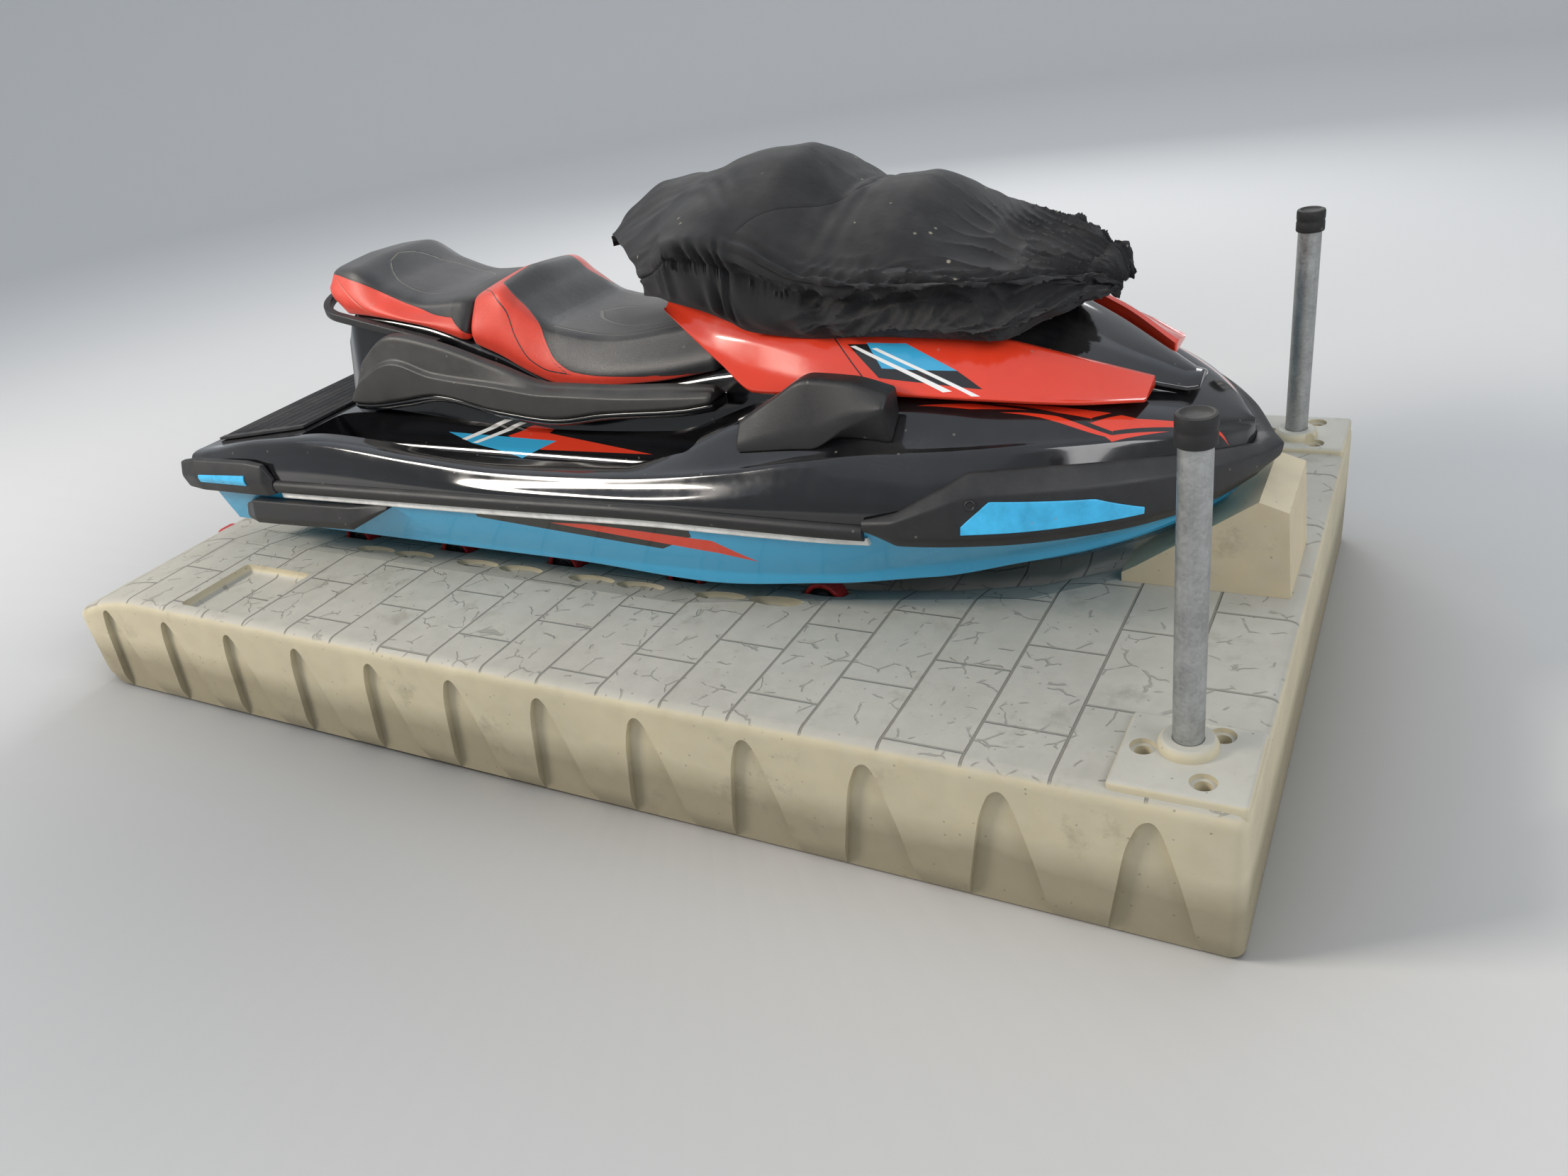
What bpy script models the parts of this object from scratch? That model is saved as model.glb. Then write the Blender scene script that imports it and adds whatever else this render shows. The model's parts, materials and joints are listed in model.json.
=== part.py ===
"""Three-seat personal watercraft parked on a floating drive-on port.

Metres. +X runs to the bow, +Y to the craft's left side, +Z up. The origin is the middle of the float's
flat underside. Sections that run along the craft come from short tables, read by a smooth curve.
"""

from math import cos, pi, radians, sin, tan

import bmesh
import bpy
import numpy as np
from mathutils import Matrix, Vector

GAP = 0.0004
FIT = 0.0008
LOOSE_FIT = 0.005
RUNNING_GAP = 0.006
SIDES = (("left", 1), ("right", -1))

# Float of the port
FLOAT_LENGTH = 3.70
FLOAT_WIDTH = 1.88
FLOAT_HEIGHT = 0.38
FLOAT_EDGE = 0.035
RAMP_LENGTH = 0.42
RAMP_DROP = 0.11
WELL_REAR, WELL_LENGTH, WELL_Y, WELL_WIDTH, WELL_DEPTH = -1.25, 0.30, 0.77, 0.26, 0.028

# Cradle channel: station x, half width at the deck, half width and height of its shoulder, half width
# and height of its floor
CHANNEL_ROWS = (
    (-1.95, 0.517, 0.300, 0.338, 0.130, 0.205),
    (-1.30, 0.517, 0.300, 0.338, 0.130, 0.205),
    (0.35, 0.517, 0.300, 0.338, 0.130, 0.205),
    (0.80, 0.394, 0.270, 0.343, 0.120, 0.210),
    (1.02, 0.340, 0.220, 0.345, 0.100, 0.225),
    (1.23, 0.286, 0.150, 0.350, 0.060, 0.270),
    (1.38, 0.175, 0.080, 0.366, 0.030, 0.345),
    (1.42, 0.140, 0.060, 0.372, 0.020, 0.362),
)
KEEL_BUNK = ((-0.9, 0.3), (0.15, 0.21))
BUNK_FOOT = 0.185
POCKET_SPOTS = (0.096, 0.268)
POCKET_Y = 0.432
POCKET_SIZE = (0.080, 0.030)

# Arches along the float's sides: first foot, step, and the outline from that foot
ARCH_COUNT, ARCH_START, ARCH_STEP, ARCH_DEPTH = 12, -1.654, 0.2985, 0.018
ARCH_OUTLINE = (
    (-0.045, -0.01), (-0.004, 0.250), (0.022, 0.318), (0.048, 0.333), (0.068, 0.305), (0.108, 0.170),
    (0.150, -0.01),
)

# Rollers
ROLLER_PITCH = 0.437
ROLLER_FRONT_X = 0.695
ROLLER_ROW = 5
REAR_ROLLER_X = -1.775
REAR_ROLLER_DROP = 0.085
ROLLER_Y = 0.33
ROLLER_RADIUS = 0.056
ROLLER_WIDTH = 0.052
AXLE_RADIUS = 0.009
AXLE_PLAY = 0.0006

# Mooring piles
PILE_X = 1.71
PILE_Y = 0.775
PILE_RADIUS = 0.0302
PILE_TOPS = {"left": 1.035, "right": 1.080}
PAD_REAR = 1.585
PAD_FRONT = 1.846
PAD_INNER, PAD_OUTER = 0.683, 0.925
PAD_RISE = 0.016
GROOVE_SLOPE = 0.58
PAD_SEAT = 0.03

# Hull bottom: a V of this rise, straight from the transom to the middle
KEEL_Z = 0.270
DEADRISE = radians(23)
TRANSOM_X = -1.42
STERN_X = -1.53
BOW_X = 1.70
SPINE_STEP = 0.22

# Jet pump
PUMP_X = (-1.36, -1.08)
PUMP_Z = 0.400
PUMP_BORE = 0.079
PUMP_WALL = 0.009
TUNNEL_HALF = 0.165
TUNNEL_TOP = 0.515
TUNNEL_FRONT = -1.02
NOZZLE_PIVOT_X = -1.395
BUCKET_PIVOT_X = -1.405
BUCKET_RADIUS = 0.142
PLATE_THICK = 0.012
EAR = 0.098
LUG = 0.0975
PIN_RADIUS = 0.005
OUTLET_BASE, OUTLET_TIP, OUTLET_LENGTH = 0.0700, 0.0655, 0.026
NOZZLE_PROFILE = ((0.088, 0.0), (0.062, 0.105), (0.055, 0.105), (0.080, 0.0))
BUCKET_WALL = 0.008
GRATE_ZS = (0.304, 0.316)
GRATE_SLOTS = (-0.045, 0, 0.045)

# Steering
STEER_PIVOT = Vector((0.60, 0, 1.12))
STEER_TILT = radians(28)
BAR_HALF = 0.345
COLUMN_RADIUS = 0.028
MIRROR_HEAD_YS = (0.246, 0.345)

# Hood
HOOD_HINGE = Vector((1.575, 0, 0.868))

# Colours: red, green, blue, roughness, metallic
COLOURS = {
    "hull_blue": (0.045, 0.42, 0.68, 0.25, 0.0),
    "gloss_black": (0.008, 0.008, 0.009, 0.12, 0.0),
    "orange_red": (0.72, 0.045, 0.02, 0.28, 0.0),
    "matte_black": (0.018, 0.018, 0.018, 0.6, 0.0),
    "charcoal": (0.045, 0.044, 0.042, 0.55, 0.0),
    "vinyl": (0.02, 0.02, 0.021, 0.5, 0.0),
    "mat_rubber": (0.02, 0.021, 0.024, 0.8, 0.0),
    "float_grey": (0.47, 0.44, 0.37, 0.7, 0.0),
    "stop_cream": (0.68, 0.56, 0.36, 0.65, 0.0),
    "roller_red": (0.5, 0.035, 0.02, 0.6, 0.0),
    "galvanized": (0.42, 0.42, 0.41, 0.42, 0.9),
    "cap_rubber": (0.012, 0.012, 0.012, 0.7, 0.0),
    "cloth": (0.014, 0.014, 0.016, 0.85, 0.0),
    "cast_alloy": (0.45, 0.45, 0.46, 0.4, 0.9),
    "steel": (0.5, 0.5, 0.5, 0.3, 1.0),
    "engine": (0.12, 0.12, 0.13, 0.5, 0.4),
}

# Hull sections: station x, keel height, chine half width, chine height above the V plane, rail half
# width, rail height, height of the upright face under the chine edge
HULL_ROWS = (
    (-1.42, 0.270, 0.495, 0.000, 0.548, 0.632, 0.020),
    (-0.90, 0.270, 0.500, 0.000, 0.575, 0.657, 0.020),
    (0.00, 0.270, 0.505, 0.004, 0.588, 0.687, 0.022),
    (0.45, 0.270, 0.500, 0.008, 0.588, 0.699, 0.040),
    (0.80, 0.284, 0.478, 0.021, 0.578, 0.694, 0.030),
    (1.05, 0.310, 0.425, 0.045, 0.548, 0.686, 0.038),
    (1.25, 0.350, 0.350, 0.047, 0.490, 0.680, 0.025),
    (1.42, 0.412, 0.250, 0.038, 0.400, 0.677, 0.022),
    (1.55, 0.480, 0.155, 0.030, 0.292, 0.675, 0.016),
    (1.64, 0.550, 0.080, 0.020, 0.175, 0.676, 0.010),
    (1.70, 0.640, 0.020, 0.008, 0.050, 0.679, 0.004),
)
TRAY_DIP = 0.035
TRAY_PLAY = 0.003

# Footwells, their mats and the stern's mat
FOOTWELL_XS, FOOTWELL_YS, FOOTWELL_Z = (-1.0, 0.46), (0.300, 0.475), 0.672
FOOT_MAT_YS = (0.332, 0.443)
MAT_THICK = 0.008
DECK_CLEAR = 1.2

# Deck tray: station x, how far the gunwale leans in from the rail, its height, inner half width and
# height, middle height
DECK_ROWS = (
    (-1.53, 0.046, 0.692, 0.42, 0.690, 0.694),
    (-1.42, 0.033, 0.712, 0.44, 0.705, 0.708),
    (-1.15, 0.030, 0.765, 0.46, 0.745, 0.745),
    (-0.85, 0.031, 0.790, 0.47, 0.785, 0.785),
    (-0.45, 0.029, 0.766, 0.48, 0.762, 0.765),
    (-0.15, 0.031, 0.752, 0.48, 0.750, 0.755),
    (0.25, 0.036, 0.764, 0.48, 0.765, 0.770),
    (0.60, 0.046, 0.800, 0.42, 0.880, 0.868),
    (0.80, 0.053, 0.832, 0.40, 0.915, 0.900),
    (1.00, 0.062, 0.850, 0.38, 0.925, 0.915),
    (1.25, 0.065, 0.850, 0.34, 0.902, 0.905),
    (1.42, 0.060, 0.838, 0.26, 0.872, 0.878),
    (1.55, 0.052, 0.815, 0.17, 0.832, 0.842),
    (1.64, 0.046, 0.785, 0.09, 0.796, 0.802),
    (1.70, 0.040, 0.750, 0.004, 0.760, 0.765),
)

# Stations that the hull and the deck share, so that they part along one surface
SHELL = (tuple((x,) for x in sorted({row[0] for row in HULL_ROWS + DECK_ROWS})), 0.24)

# Spine under the seats and the hood: station x, half width at its foot, at its top, height of its top
SPINE_FOOT = 0.705
SPINE_EDGE = 0.012
SPINE_ROWS = (
    (-0.99, 0.250, 0.175, 0.990),
    (-0.90, 0.280, 0.200, 1.070),
    (-0.62, 0.288, 0.215, 1.045),
    (-0.35, 0.290, 0.220, 0.965),
    (-0.08, 0.290, 0.225, 0.872),
    (0.20, 0.290, 0.230, 0.892),
    (0.45, 0.290, 0.235, 0.932),
    (0.70, 0.290, 0.240, 0.960),
    (0.78, 0.286, 0.240, 1.060),
    (0.95, 0.276, 0.238, 1.055),
    (1.15, 0.252, 0.222, 1.015),
    (1.32, 0.205, 0.175, 0.950),
    (1.46, 0.140, 0.112, 0.890),
    (1.56, 0.080, 0.050, 0.848),
)

# Fairing: station x, inner top edge (half width, height), knee, lower edge
FAIRING_ROWS = (
    (0.33, 0.262, 1.130, 0.275, 1.118, 0.298, 1.105),
    (0.50, 0.262, 1.130, 0.318, 1.055, 0.345, 0.985),
    (0.60, 0.262, 1.127, 0.332, 1.042, 0.372, 0.925),
    (0.90, 0.268, 1.100, 0.362, 1.000, 0.400, 0.942),
    (1.15, 0.258, 1.045, 0.345, 0.970, 0.385, 0.932),
    (1.35, 0.205, 0.975, 0.280, 0.932, 0.325, 0.906),
    (1.50, 0.125, 0.905, 0.180, 0.892, 0.222, 0.878),
)

# Side cover: station x, top edge height, lower edge height, outer half width
SIDE_COVER_ROWS = (
    (-0.88, 0.860, 0.825, 0.335),
    (-0.80, 0.960, 0.828, 0.345),
    (-0.64, 1.040, 0.850, 0.352),
    (-0.50, 1.020, 0.870, 0.352),
    (-0.27, 0.955, 0.830, 0.350),
    (-0.09, 0.905, 0.815, 0.350),
    (0.10, 0.905, 0.840, 0.350),
    (0.35, 0.915, 0.862, 0.348),
    (0.45, 0.915, 0.880, 0.345),
)

SIDE_COVER_INNER = 0.292

# Seats: station x, half width at the foot, half width at the shoulder, foot height, shoulder height,
# middle height
FRONT_SEAT_ROWS = (
    (-0.42, 0.225, 0.170, 0.960, 1.110, 1.125),
    (-0.31, 0.232, 0.185, 0.940, 1.135, 1.155),
    (-0.25, 0.238, 0.190, 0.920, 1.090, 1.095),
    (-0.14, 0.242, 0.190, 0.880, 1.025, 1.020),
    (0.05, 0.245, 0.185, 0.870, 1.000, 1.005),
    (0.25, 0.240, 0.170, 0.885, 1.020, 1.035),
    (0.42, 0.225, 0.150, 0.915, 1.050, 1.065),
)
REAR_SEAT_ROWS = (
    (-1.04, 0.140, 0.110, 1.124, 1.170, 1.180),
    (-0.96, 0.200, 0.160, 1.104, 1.197, 1.207),
    (-0.88, 0.220, 0.175, 1.060, 1.200, 1.210),
    (-0.76, 0.230, 0.180, 1.050, 1.140, 1.145),
    (-0.60, 0.235, 0.180, 1.035, 1.100, 1.110),
    (-0.47, 0.232, 0.172, 1.000, 1.105, 1.115),
    (-0.43, 0.228, 0.160, 0.995, 1.100, 1.110),
)

# Cloth cover: station x, how far it runs back for each metre across, half width, hem height, top height
COVER_ROWS = (
    (0.02, 0.90, 0.255, 1.130, 1.200),
    (0.14, 0.70, 0.300, 1.140, 1.265),
    (0.30, 0.45, 0.400, 1.145, 1.355),
    (0.48, 0.20, 0.440, 1.120, 1.415),
    (0.62, 0.00, 0.445, 1.095, 1.430),
    (0.78, 0.00, 0.440, 1.085, 1.337),
    (0.94, 0.00, 0.430, 1.078, 1.347),
    (1.13, 0.00, 0.390, 1.065, 1.240),
    (1.24, 0.00, 0.350, 1.062, 1.190),
    (1.31, 0.00, 0.305, 1.065, 1.165),
    (1.36, 0.00, 0.265, 1.075, 1.120),
)
COVER_THICK = 0.006
COVER_TUCK_END = 0.5

# Footwell guard: station x, how far its outer edge stands off the deck, height of its top
GUARD_ROWS = (
    (0.60, 0.000, 0.890),
    (0.70, 0.000, 0.950),
    (0.80, 0.000, 1.002),
    (0.90, 0.055, 0.998),
    (1.00, 0.100, 0.975),
)
GUARD_INNER, GUARD_OUTER = 0.405, 0.492

# Where pieces begin and end along the craft
CAP_FRONT = -1.05
BUMPER_REAR = 0.955
BUMPER_STATIONS = (0.985, 1.03, 1.10, 1.225, 1.595, 1.67)
INSERT_ENDS = (1.17, 1.505)
FAIRING_ENDS = (0.33, 1.50)
HOOD_ENDS = (0.80, 1.585)

# Rub rail's section: distance from the rail, height above it
RAIL_PROFILE = (
    (GAP, -0.030), (0.010, -0.028), (0.017, -0.014), (0.017, -0.002), (0.010, 0.007), (GAP, 0.009),
)

# Stern cap: station x, how far it stands out, its lower and upper height
STERN_CAP_ROWS = (
    (STERN_X + 0.005, 0.004, 0.625, 0.670),
    (STERN_X + 0.030, 0.030, 0.603, 0.692),
    (TRANSOM_X, 0.044, 0.600, 0.705),
    (-1.15, 0.040, 0.610, 0.718),
    (-1.08, 0.032, 0.612, 0.712),
    (CAP_FRONT, 0.020, 0.620, 0.665),
)

# Sponson: its stations, and the lower edge, upper edge and standing out at each; its slots
SPONSON_XS = (-1.27, -1.20, -0.74, -0.58)
SPONSON_LOW = (0.500, 0.503, 0.531, 0.606)
SPONSON_HIGH = (0.552, 0.580, 0.603, 0.618)
SPONSON_OUT = (0.028, 0.042, 0.042, 0.020)
SPONSON_ENDS = (SPONSON_XS[0], SPONSON_XS[-1])
SPONSON_SLOTS = (-1.14, -1.03, -0.90, -0.79)
SLOT_Y, SLOT_Z, SLOT_HALF = 0.604, 0.535, 0.007

# Openings, as two corners
ENGINE_BAY = ((-0.52, -0.24, 0.40), (0.32, 0.24, 0.9))
ENGINE_BLOCK = ((-0.45, -0.19, 0.40 + GAP), (0.25, 0.19, 0.625))
STORAGE_BIN = ((0.86, -0.17, 0.70), (1.30, 0.17, 1.2))
INTAKE = ((-1.07, -0.075, 0.1), (-0.66, 0.075, 0.45))

# Half width of the bow stop
STOP_HALF = 0.145

# Fixing holes of a pile's pad, from the pile
PAD_HOLES = ((-0.081, 0.024), (0.056, -0.052), (0.047, 0.100))


def clear_scene():
    for thing in list(bpy.data.objects):
        bpy.data.objects.remove(thing, do_unlink=True)


def collection(name):
    made = bpy.data.collections.new(name)
    bpy.context.scene.collection.children.link(made)
    return made


def material(name):
    red, green, blue, roughness, metallic = COLOURS[name]
    made = bpy.data.materials.get(name)
    if made is None:
        made = bpy.data.materials.new(name)
        made.use_nodes = True
        shader = made.node_tree.nodes["Principled BSDF"]
        shader.inputs["Base Color"].default_value = (red, green, blue, 1)
        shader.inputs["Roughness"].default_value = roughness
        shader.inputs["Metallic"].default_value = metallic
    return made


def read_rows(rows, x):
    """The columns of a table at station x, by a monotone cubic through its rows."""
    table = np.array(rows, float)
    xs, ys = table[:, 0], table[:, 1:]
    steps = np.diff(xs)[:, None]
    slopes = np.diff(ys, axis=0) / steps
    same_way = slopes[:-1] * slopes[1:] > 0
    total = np.where(same_way, slopes[:-1] + slopes[1:], 1)
    mean = np.where(same_way, 2 * slopes[:-1] * slopes[1:] / total, 0)
    ends = np.vstack([slopes[:1], mean, slopes[-1:]])
    i = int(np.clip(np.searchsorted(xs, x) - 1, 0, len(xs) - 2))
    t = np.clip((x - xs[i]) / steps[i, 0], 0, 1)
    h = steps[i, 0]
    return (
        (1 + 2 * t) * (1 - t) ** 2 * ys[i]
        + t * (1 - t) ** 2 * h * ends[i]
        + t * t * (3 - 2 * t) * ys[i + 1]
        + t * t * (t - 1) * h * ends[i + 1]
    )


def between(xs, value, x):
    """What a loft with stations xs has at x: straight between its values at two of them."""
    x = min(max(x, xs[0]), xs[-1])
    i = int(np.clip(np.searchsorted(xs, x) - 1, 0, len(xs) - 2))
    share = (x - xs[i]) / (xs[i + 1] - xs[i])
    return (1 - share) * np.array(value(xs[i])) + share * np.array(value(xs[i + 1]))


def spine_at(x):
    """Half width of the spine's foot and top, and the height of its top."""
    return between(stations(SPINE_ROWS, SPINE_STEP), lambda at: read_rows(SPINE_ROWS, at), x)


def fit(x, rows, most):
    """Gap to a carrier: close at the carrier's own stations, where it is exact, and loose between them."""
    return FIT if any(abs(x - at) < 1e-6 for at in stations(rows, most)) else LOOSE_FIT


def carrier_stations(low, high, *tables):
    """The stations of the lofts that carry a piece, between its two ends, with both ends."""
    found = {low, high}
    for rows, most in tables:
        found |= {x for x in stations(rows, most) if low + 0.01 < x < high - 0.01}
    return sorted(found)


def stations(rows, most):
    """Every table station, with more between them where they lie further apart than most."""
    xs = [row[0] for row in rows]
    found = []
    for low, high in zip(xs, xs[1:]):
        count = max(1, round((high - low) / most))
        found += [low + (high - low) * k / count for k in range(count)]
    return found + [xs[-1]]


class Maker:
    """Puts finished pieces in one collection and cutters in another."""

    def __init__(self):
        self.parts = collection("personal_watercraft")
        self.cutters = collection("cutters")

    def add(self, name, mesh, colour):
        made = bpy.data.objects.new(name, mesh)
        self.parts.objects.link(made)
        mesh.materials.append(material(colour))
        mesh.shade_smooth()
        mesh.set_sharp_from_angle(angle=radians(35))
        return made

    def cutter(self, name, mesh):
        made = bpy.data.objects.new(name, mesh)
        self.cutters.objects.link(made)
        made.hide_render = True
        made.display_type = "WIRE"
        return made

    def boolean(self, target, other, operation):
        step = target.modifiers.new(other.name, "BOOLEAN")
        step.operation = operation
        step.object = other
        return target

    def cut(self, target, other):
        return self.boolean(target, other, "DIFFERENCE")

    def join(self, target, other):
        return self.boolean(target, other, "UNION")


def mesh_from(name, build):
    """A mesh that the function build fills in as a bmesh."""
    form = bmesh.new()
    build(form)
    bmesh.ops.recalc_face_normals(form, faces=form.faces[:])
    mesh = bpy.data.meshes.new(name)
    form.to_mesh(mesh)
    form.free()
    return mesh


def loft(name, rings):
    """A closed solid through rings of as many points each, with flat ends."""

    def build(form):
        rows = [[form.verts.new(point) for point in ring] for ring in rings]
        count = len(rows[0])
        for first, second in zip(rows, rows[1:]):
            for k in range(count):
                after = (k + 1) % count
                form.faces.new((first[k], first[after], second[after], second[k]))
        form.faces.new(rows[0])
        form.faces.new(rows[-1])

    return mesh_from(name, build)


def lofts(name, sets):
    """Several separate lofts in one mesh, each through its own rings."""
    form = bmesh.new()
    for rings in sets:
        form.from_mesh(loft(name, rings))
    mesh = bpy.data.meshes.new(name)
    form.to_mesh(mesh)
    form.free()
    return mesh


def oval_rings(middle, size):
    """Two level ovals, for a pocket sunk into the cradle's shoulder."""
    x, y = middle
    long, wide = size
    turns = [2 * pi * k / 14 for k in range(14)]
    return [[(x + long * cos(turn), y + wide * sin(turn), z) for turn in turns] for z in (0.345, 0.5)]


def block(name, low, high):
    """A box between two corners."""

    def build(form):
        bmesh.ops.create_cube(form, size=1)
        size = Vector(high) - Vector(low)
        bmesh.ops.scale(form, vec=size, verts=form.verts)
        bmesh.ops.translate(form, vec=Vector(low) + size / 2, verts=form.verts)

    return mesh_from(name, build)


def blocks(name, boxes):
    """Several separate boxes in one mesh."""

    def build(form):
        for low, high in boxes:
            made = bmesh.ops.create_cube(form, size=1)["verts"]
            size = Vector(high) - Vector(low)
            bmesh.ops.scale(form, vec=size, verts=made)
            bmesh.ops.translate(form, vec=Vector(low) + size / 2, verts=made)

    return mesh_from(name, build)


TURN = {"X": Matrix.Rotation(pi / 2, 4, "Y"), "Y": Matrix.Rotation(-pi / 2, 4, "X"), "Z": Matrix()}


def rods(name, radius, ends, axis, sides=16, radius_after=None):
    """Separate cylinders, or cones, along one axis. Each end is (low centre, length)."""

    def build(form):
        for centre, length in ends:
            bmesh.ops.create_cone(
                form,
                cap_ends=True,
                segments=sides,
                radius1=radius,
                radius2=radius if radius_after is None else radius_after,
                depth=length,
                matrix=Matrix.Translation(centre) @ TURN[axis] @ Matrix.Translation((0, 0, length / 2)),
            )

    return mesh_from(name, build)


def turned(name, profile, sides):
    """A ring turned about the local Z axis, from (radius, height) points that close on themselves."""

    def build(form):
        rows = []
        for k in range(sides):
            angle = 2 * pi * k / sides
            rows.append([form.verts.new((r * cos(angle), r * sin(angle), z)) for r, z in profile])
        count = len(profile)
        for k in range(sides):
            first, second = rows[k], rows[(k + 1) % sides]
            for j in range(count):
                after = (j + 1) % count
                form.faces.new((first[j], second[j], second[after], first[after]))

    return mesh_from(name, build)


def bevel(thing, width, segments=2, angle=35):
    step = thing.modifiers.new("rounding", "BEVEL")
    step.width = width
    step.segments = segments
    step.limit_method = "ANGLE"
    step.angle_limit = radians(angle)
    return thing


def tube_mesh(name, points, radius, sides=3, cyclic=False):
    """A bent round bar through points, as a mesh with welded caps."""
    curve = bpy.data.curves.new(name, "CURVE")
    curve.dimensions = "3D"
    curve.bevel_depth = radius
    curve.bevel_resolution = sides
    curve.use_fill_caps = True
    line = curve.splines.new("POLY")
    line.points.add(len(points) - 1)
    for place, point in zip(line.points, points):
        place.co = (*point, 1)
    line.use_cyclic_u = cyclic
    guide = bpy.data.objects.new(name + "_guide", curve)
    bpy.context.scene.collection.objects.link(guide)
    graph = bpy.context.evaluated_depsgraph_get()
    mesh = bpy.data.meshes.new_from_object(guide.evaluated_get(graph))
    bpy.data.objects.remove(guide, do_unlink=True)
    bpy.data.curves.remove(curve)
    form = bmesh.new()
    form.from_mesh(mesh)
    bmesh.ops.remove_doubles(form, verts=form.verts, dist=1e-5)
    bmesh.ops.recalc_face_normals(form, faces=form.faces[:])
    form.to_mesh(mesh)
    form.free()
    mesh.materials.clear()
    return mesh


def both_sides(half):
    """A closed ring from a half section of (y, z) points that starts and ends on the middle plane."""
    return half + [(-y, z) for y, z in reversed(half[1:-1])]


def tray_floor(x):
    """Where the hull and the deck part: the rail, and half width and height of the lower middle."""
    _, _, _, rail_y, rail_z, _ = read_rows(HULL_ROWS, max(x, TRANSOM_X))
    dip = TRAY_DIP * np.interp(x, (0.60, 0.90), (1, 0))
    return rail_y, rail_z, 0.8 * rail_y, rail_z - dip


def hull_half(x):
    """Half section of the hull: keel, spray strake, chine flat, upright chine face, side and top."""
    keel, chine_y, chine_lift, _, _, drop = read_rows(HULL_ROWS, x)
    rail_y, rail_z, floor_y, floor_z = tray_floor(x)
    chine_z = keel + chine_y * tan(DEADRISE) + chine_lift
    slope = (chine_z - keel) / chine_y
    strake_out = 0.52 * chine_y
    strake_in = 0.46 * chine_y
    return [
        (0, keel), (strake_in, keel + slope * strake_in), (strake_out, keel + slope * strake_in),
        (strake_out, keel + slope * strake_out), (0.90 * chine_y, chine_z - drop - 0.002),
        (chine_y, chine_z - drop), (chine_y + 0.006, chine_z),
        (0.55 * chine_y + 0.45 * rail_y, 0.65 * chine_z + 0.35 * rail_z), (rail_y, rail_z),
        (floor_y, floor_z), (0, floor_z),
    ]


def deck_half(x):
    """Half section of the deck tray: floor, rail, gunwale, inner deck and middle."""
    lean, gun_z, inner_y, inner_z, middle_z = read_rows(DECK_ROWS, x)
    rail_y, rail_z, floor_y, floor_z = tray_floor(x)
    gun_y = rail_y - lean
    return [
        (0, floor_z + TRAY_PLAY), (floor_y, floor_z + TRAY_PLAY), (rail_y, rail_z + FIT),
        (rail_y - 0.002, 0.7 * rail_z + 0.3 * gun_z), (gun_y + 0.012, gun_z - 0.030),
        (gun_y - 0.002, gun_z - 0.006), (max(gun_y - 0.025, inner_y + 0.002), gun_z), (inner_y, inner_z),
        (0.55 * inner_y, 0.35 * inner_z + 0.65 * middle_z), (0, middle_z),
    ]


def spine_side(x, z):
    """Half width of the spine at a height."""
    foot_y, top_y, top_z = spine_at(x)
    edge_z = top_z - SPINE_EDGE
    return foot_y + (top_y - foot_y) * (min(z, edge_z) - SPINE_FOOT) / (edge_z - SPINE_FOOT)


def deck_at(x):
    """The deck tray's half section as its loft has it."""
    return between(stations(*SHELL), deck_half, x)


def hull_at(x):
    """The hull's half section as its loft has it."""
    return between(shell_from(TRANSOM_X), hull_half, x)


def deck_top(x, y):
    """Height of the deck tray at a point."""
    half = deck_at(x)[5:][::-1]
    return float(np.interp(abs(y), half[:, 0], half[:, 1]))


def hull_side(x, z):
    """Half width of the hull's side at a height between chine and rail."""
    side = hull_at(x)[5:9]
    return float(np.interp(z, side[:, 1], side[:, 0]))


def rail_at(x):
    """Half width and height of the rail, on the outer of the two lofts that meet there."""
    return deck_at(x)[2, 0], hull_at(x)[8, 1]


def shell_from(rear):
    """The shared stations of hull and deck, from one of them on."""
    return [x for x in stations(*SHELL) if x > rear - 0.001]


def shell_loft(name, half, xs):
    """A loft whose four-sided faces are split along their shorter diagonal, alike in hull and deck."""
    mesh = loft(name, [[(x, y, z) for y, z in both_sides(half(x))] for x in xs])
    form = bmesh.new()
    form.from_mesh(mesh)
    sides = [face for face in form.faces if len(face.verts) == 4]
    bmesh.ops.triangulate(form, faces=sides, quad_method="SHORT_EDGE")
    form.to_mesh(mesh)
    form.free()
    return mesh


def make_hull(maker):
    hull = maker.add("hull", shell_loft("hull", hull_half, shell_from(TRANSOM_X)), "hull_blue")
    tunnel = blocks(
        "jet_tunnel",
        [((TRANSOM_X - 0.1, -TUNNEL_HALF, 0.1), (TUNNEL_FRONT, TUNNEL_HALF, TUNNEL_TOP))],
    )
    maker.cut(hull, maker.cutter("jet_tunnel", tunnel))
    low, high = INTAKE
    maker.cut(hull, maker.cutter("intake_duct", block("intake_duct", low, high)))
    low, high = ENGINE_BAY
    maker.cut(hull, maker.cutter("engine_bay", block("engine_bay", low, high)))
    low, high = ENGINE_BLOCK
    bevel(maker.add("engine_block", block("engine_block", low, high), "engine"), 0.02)


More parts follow.
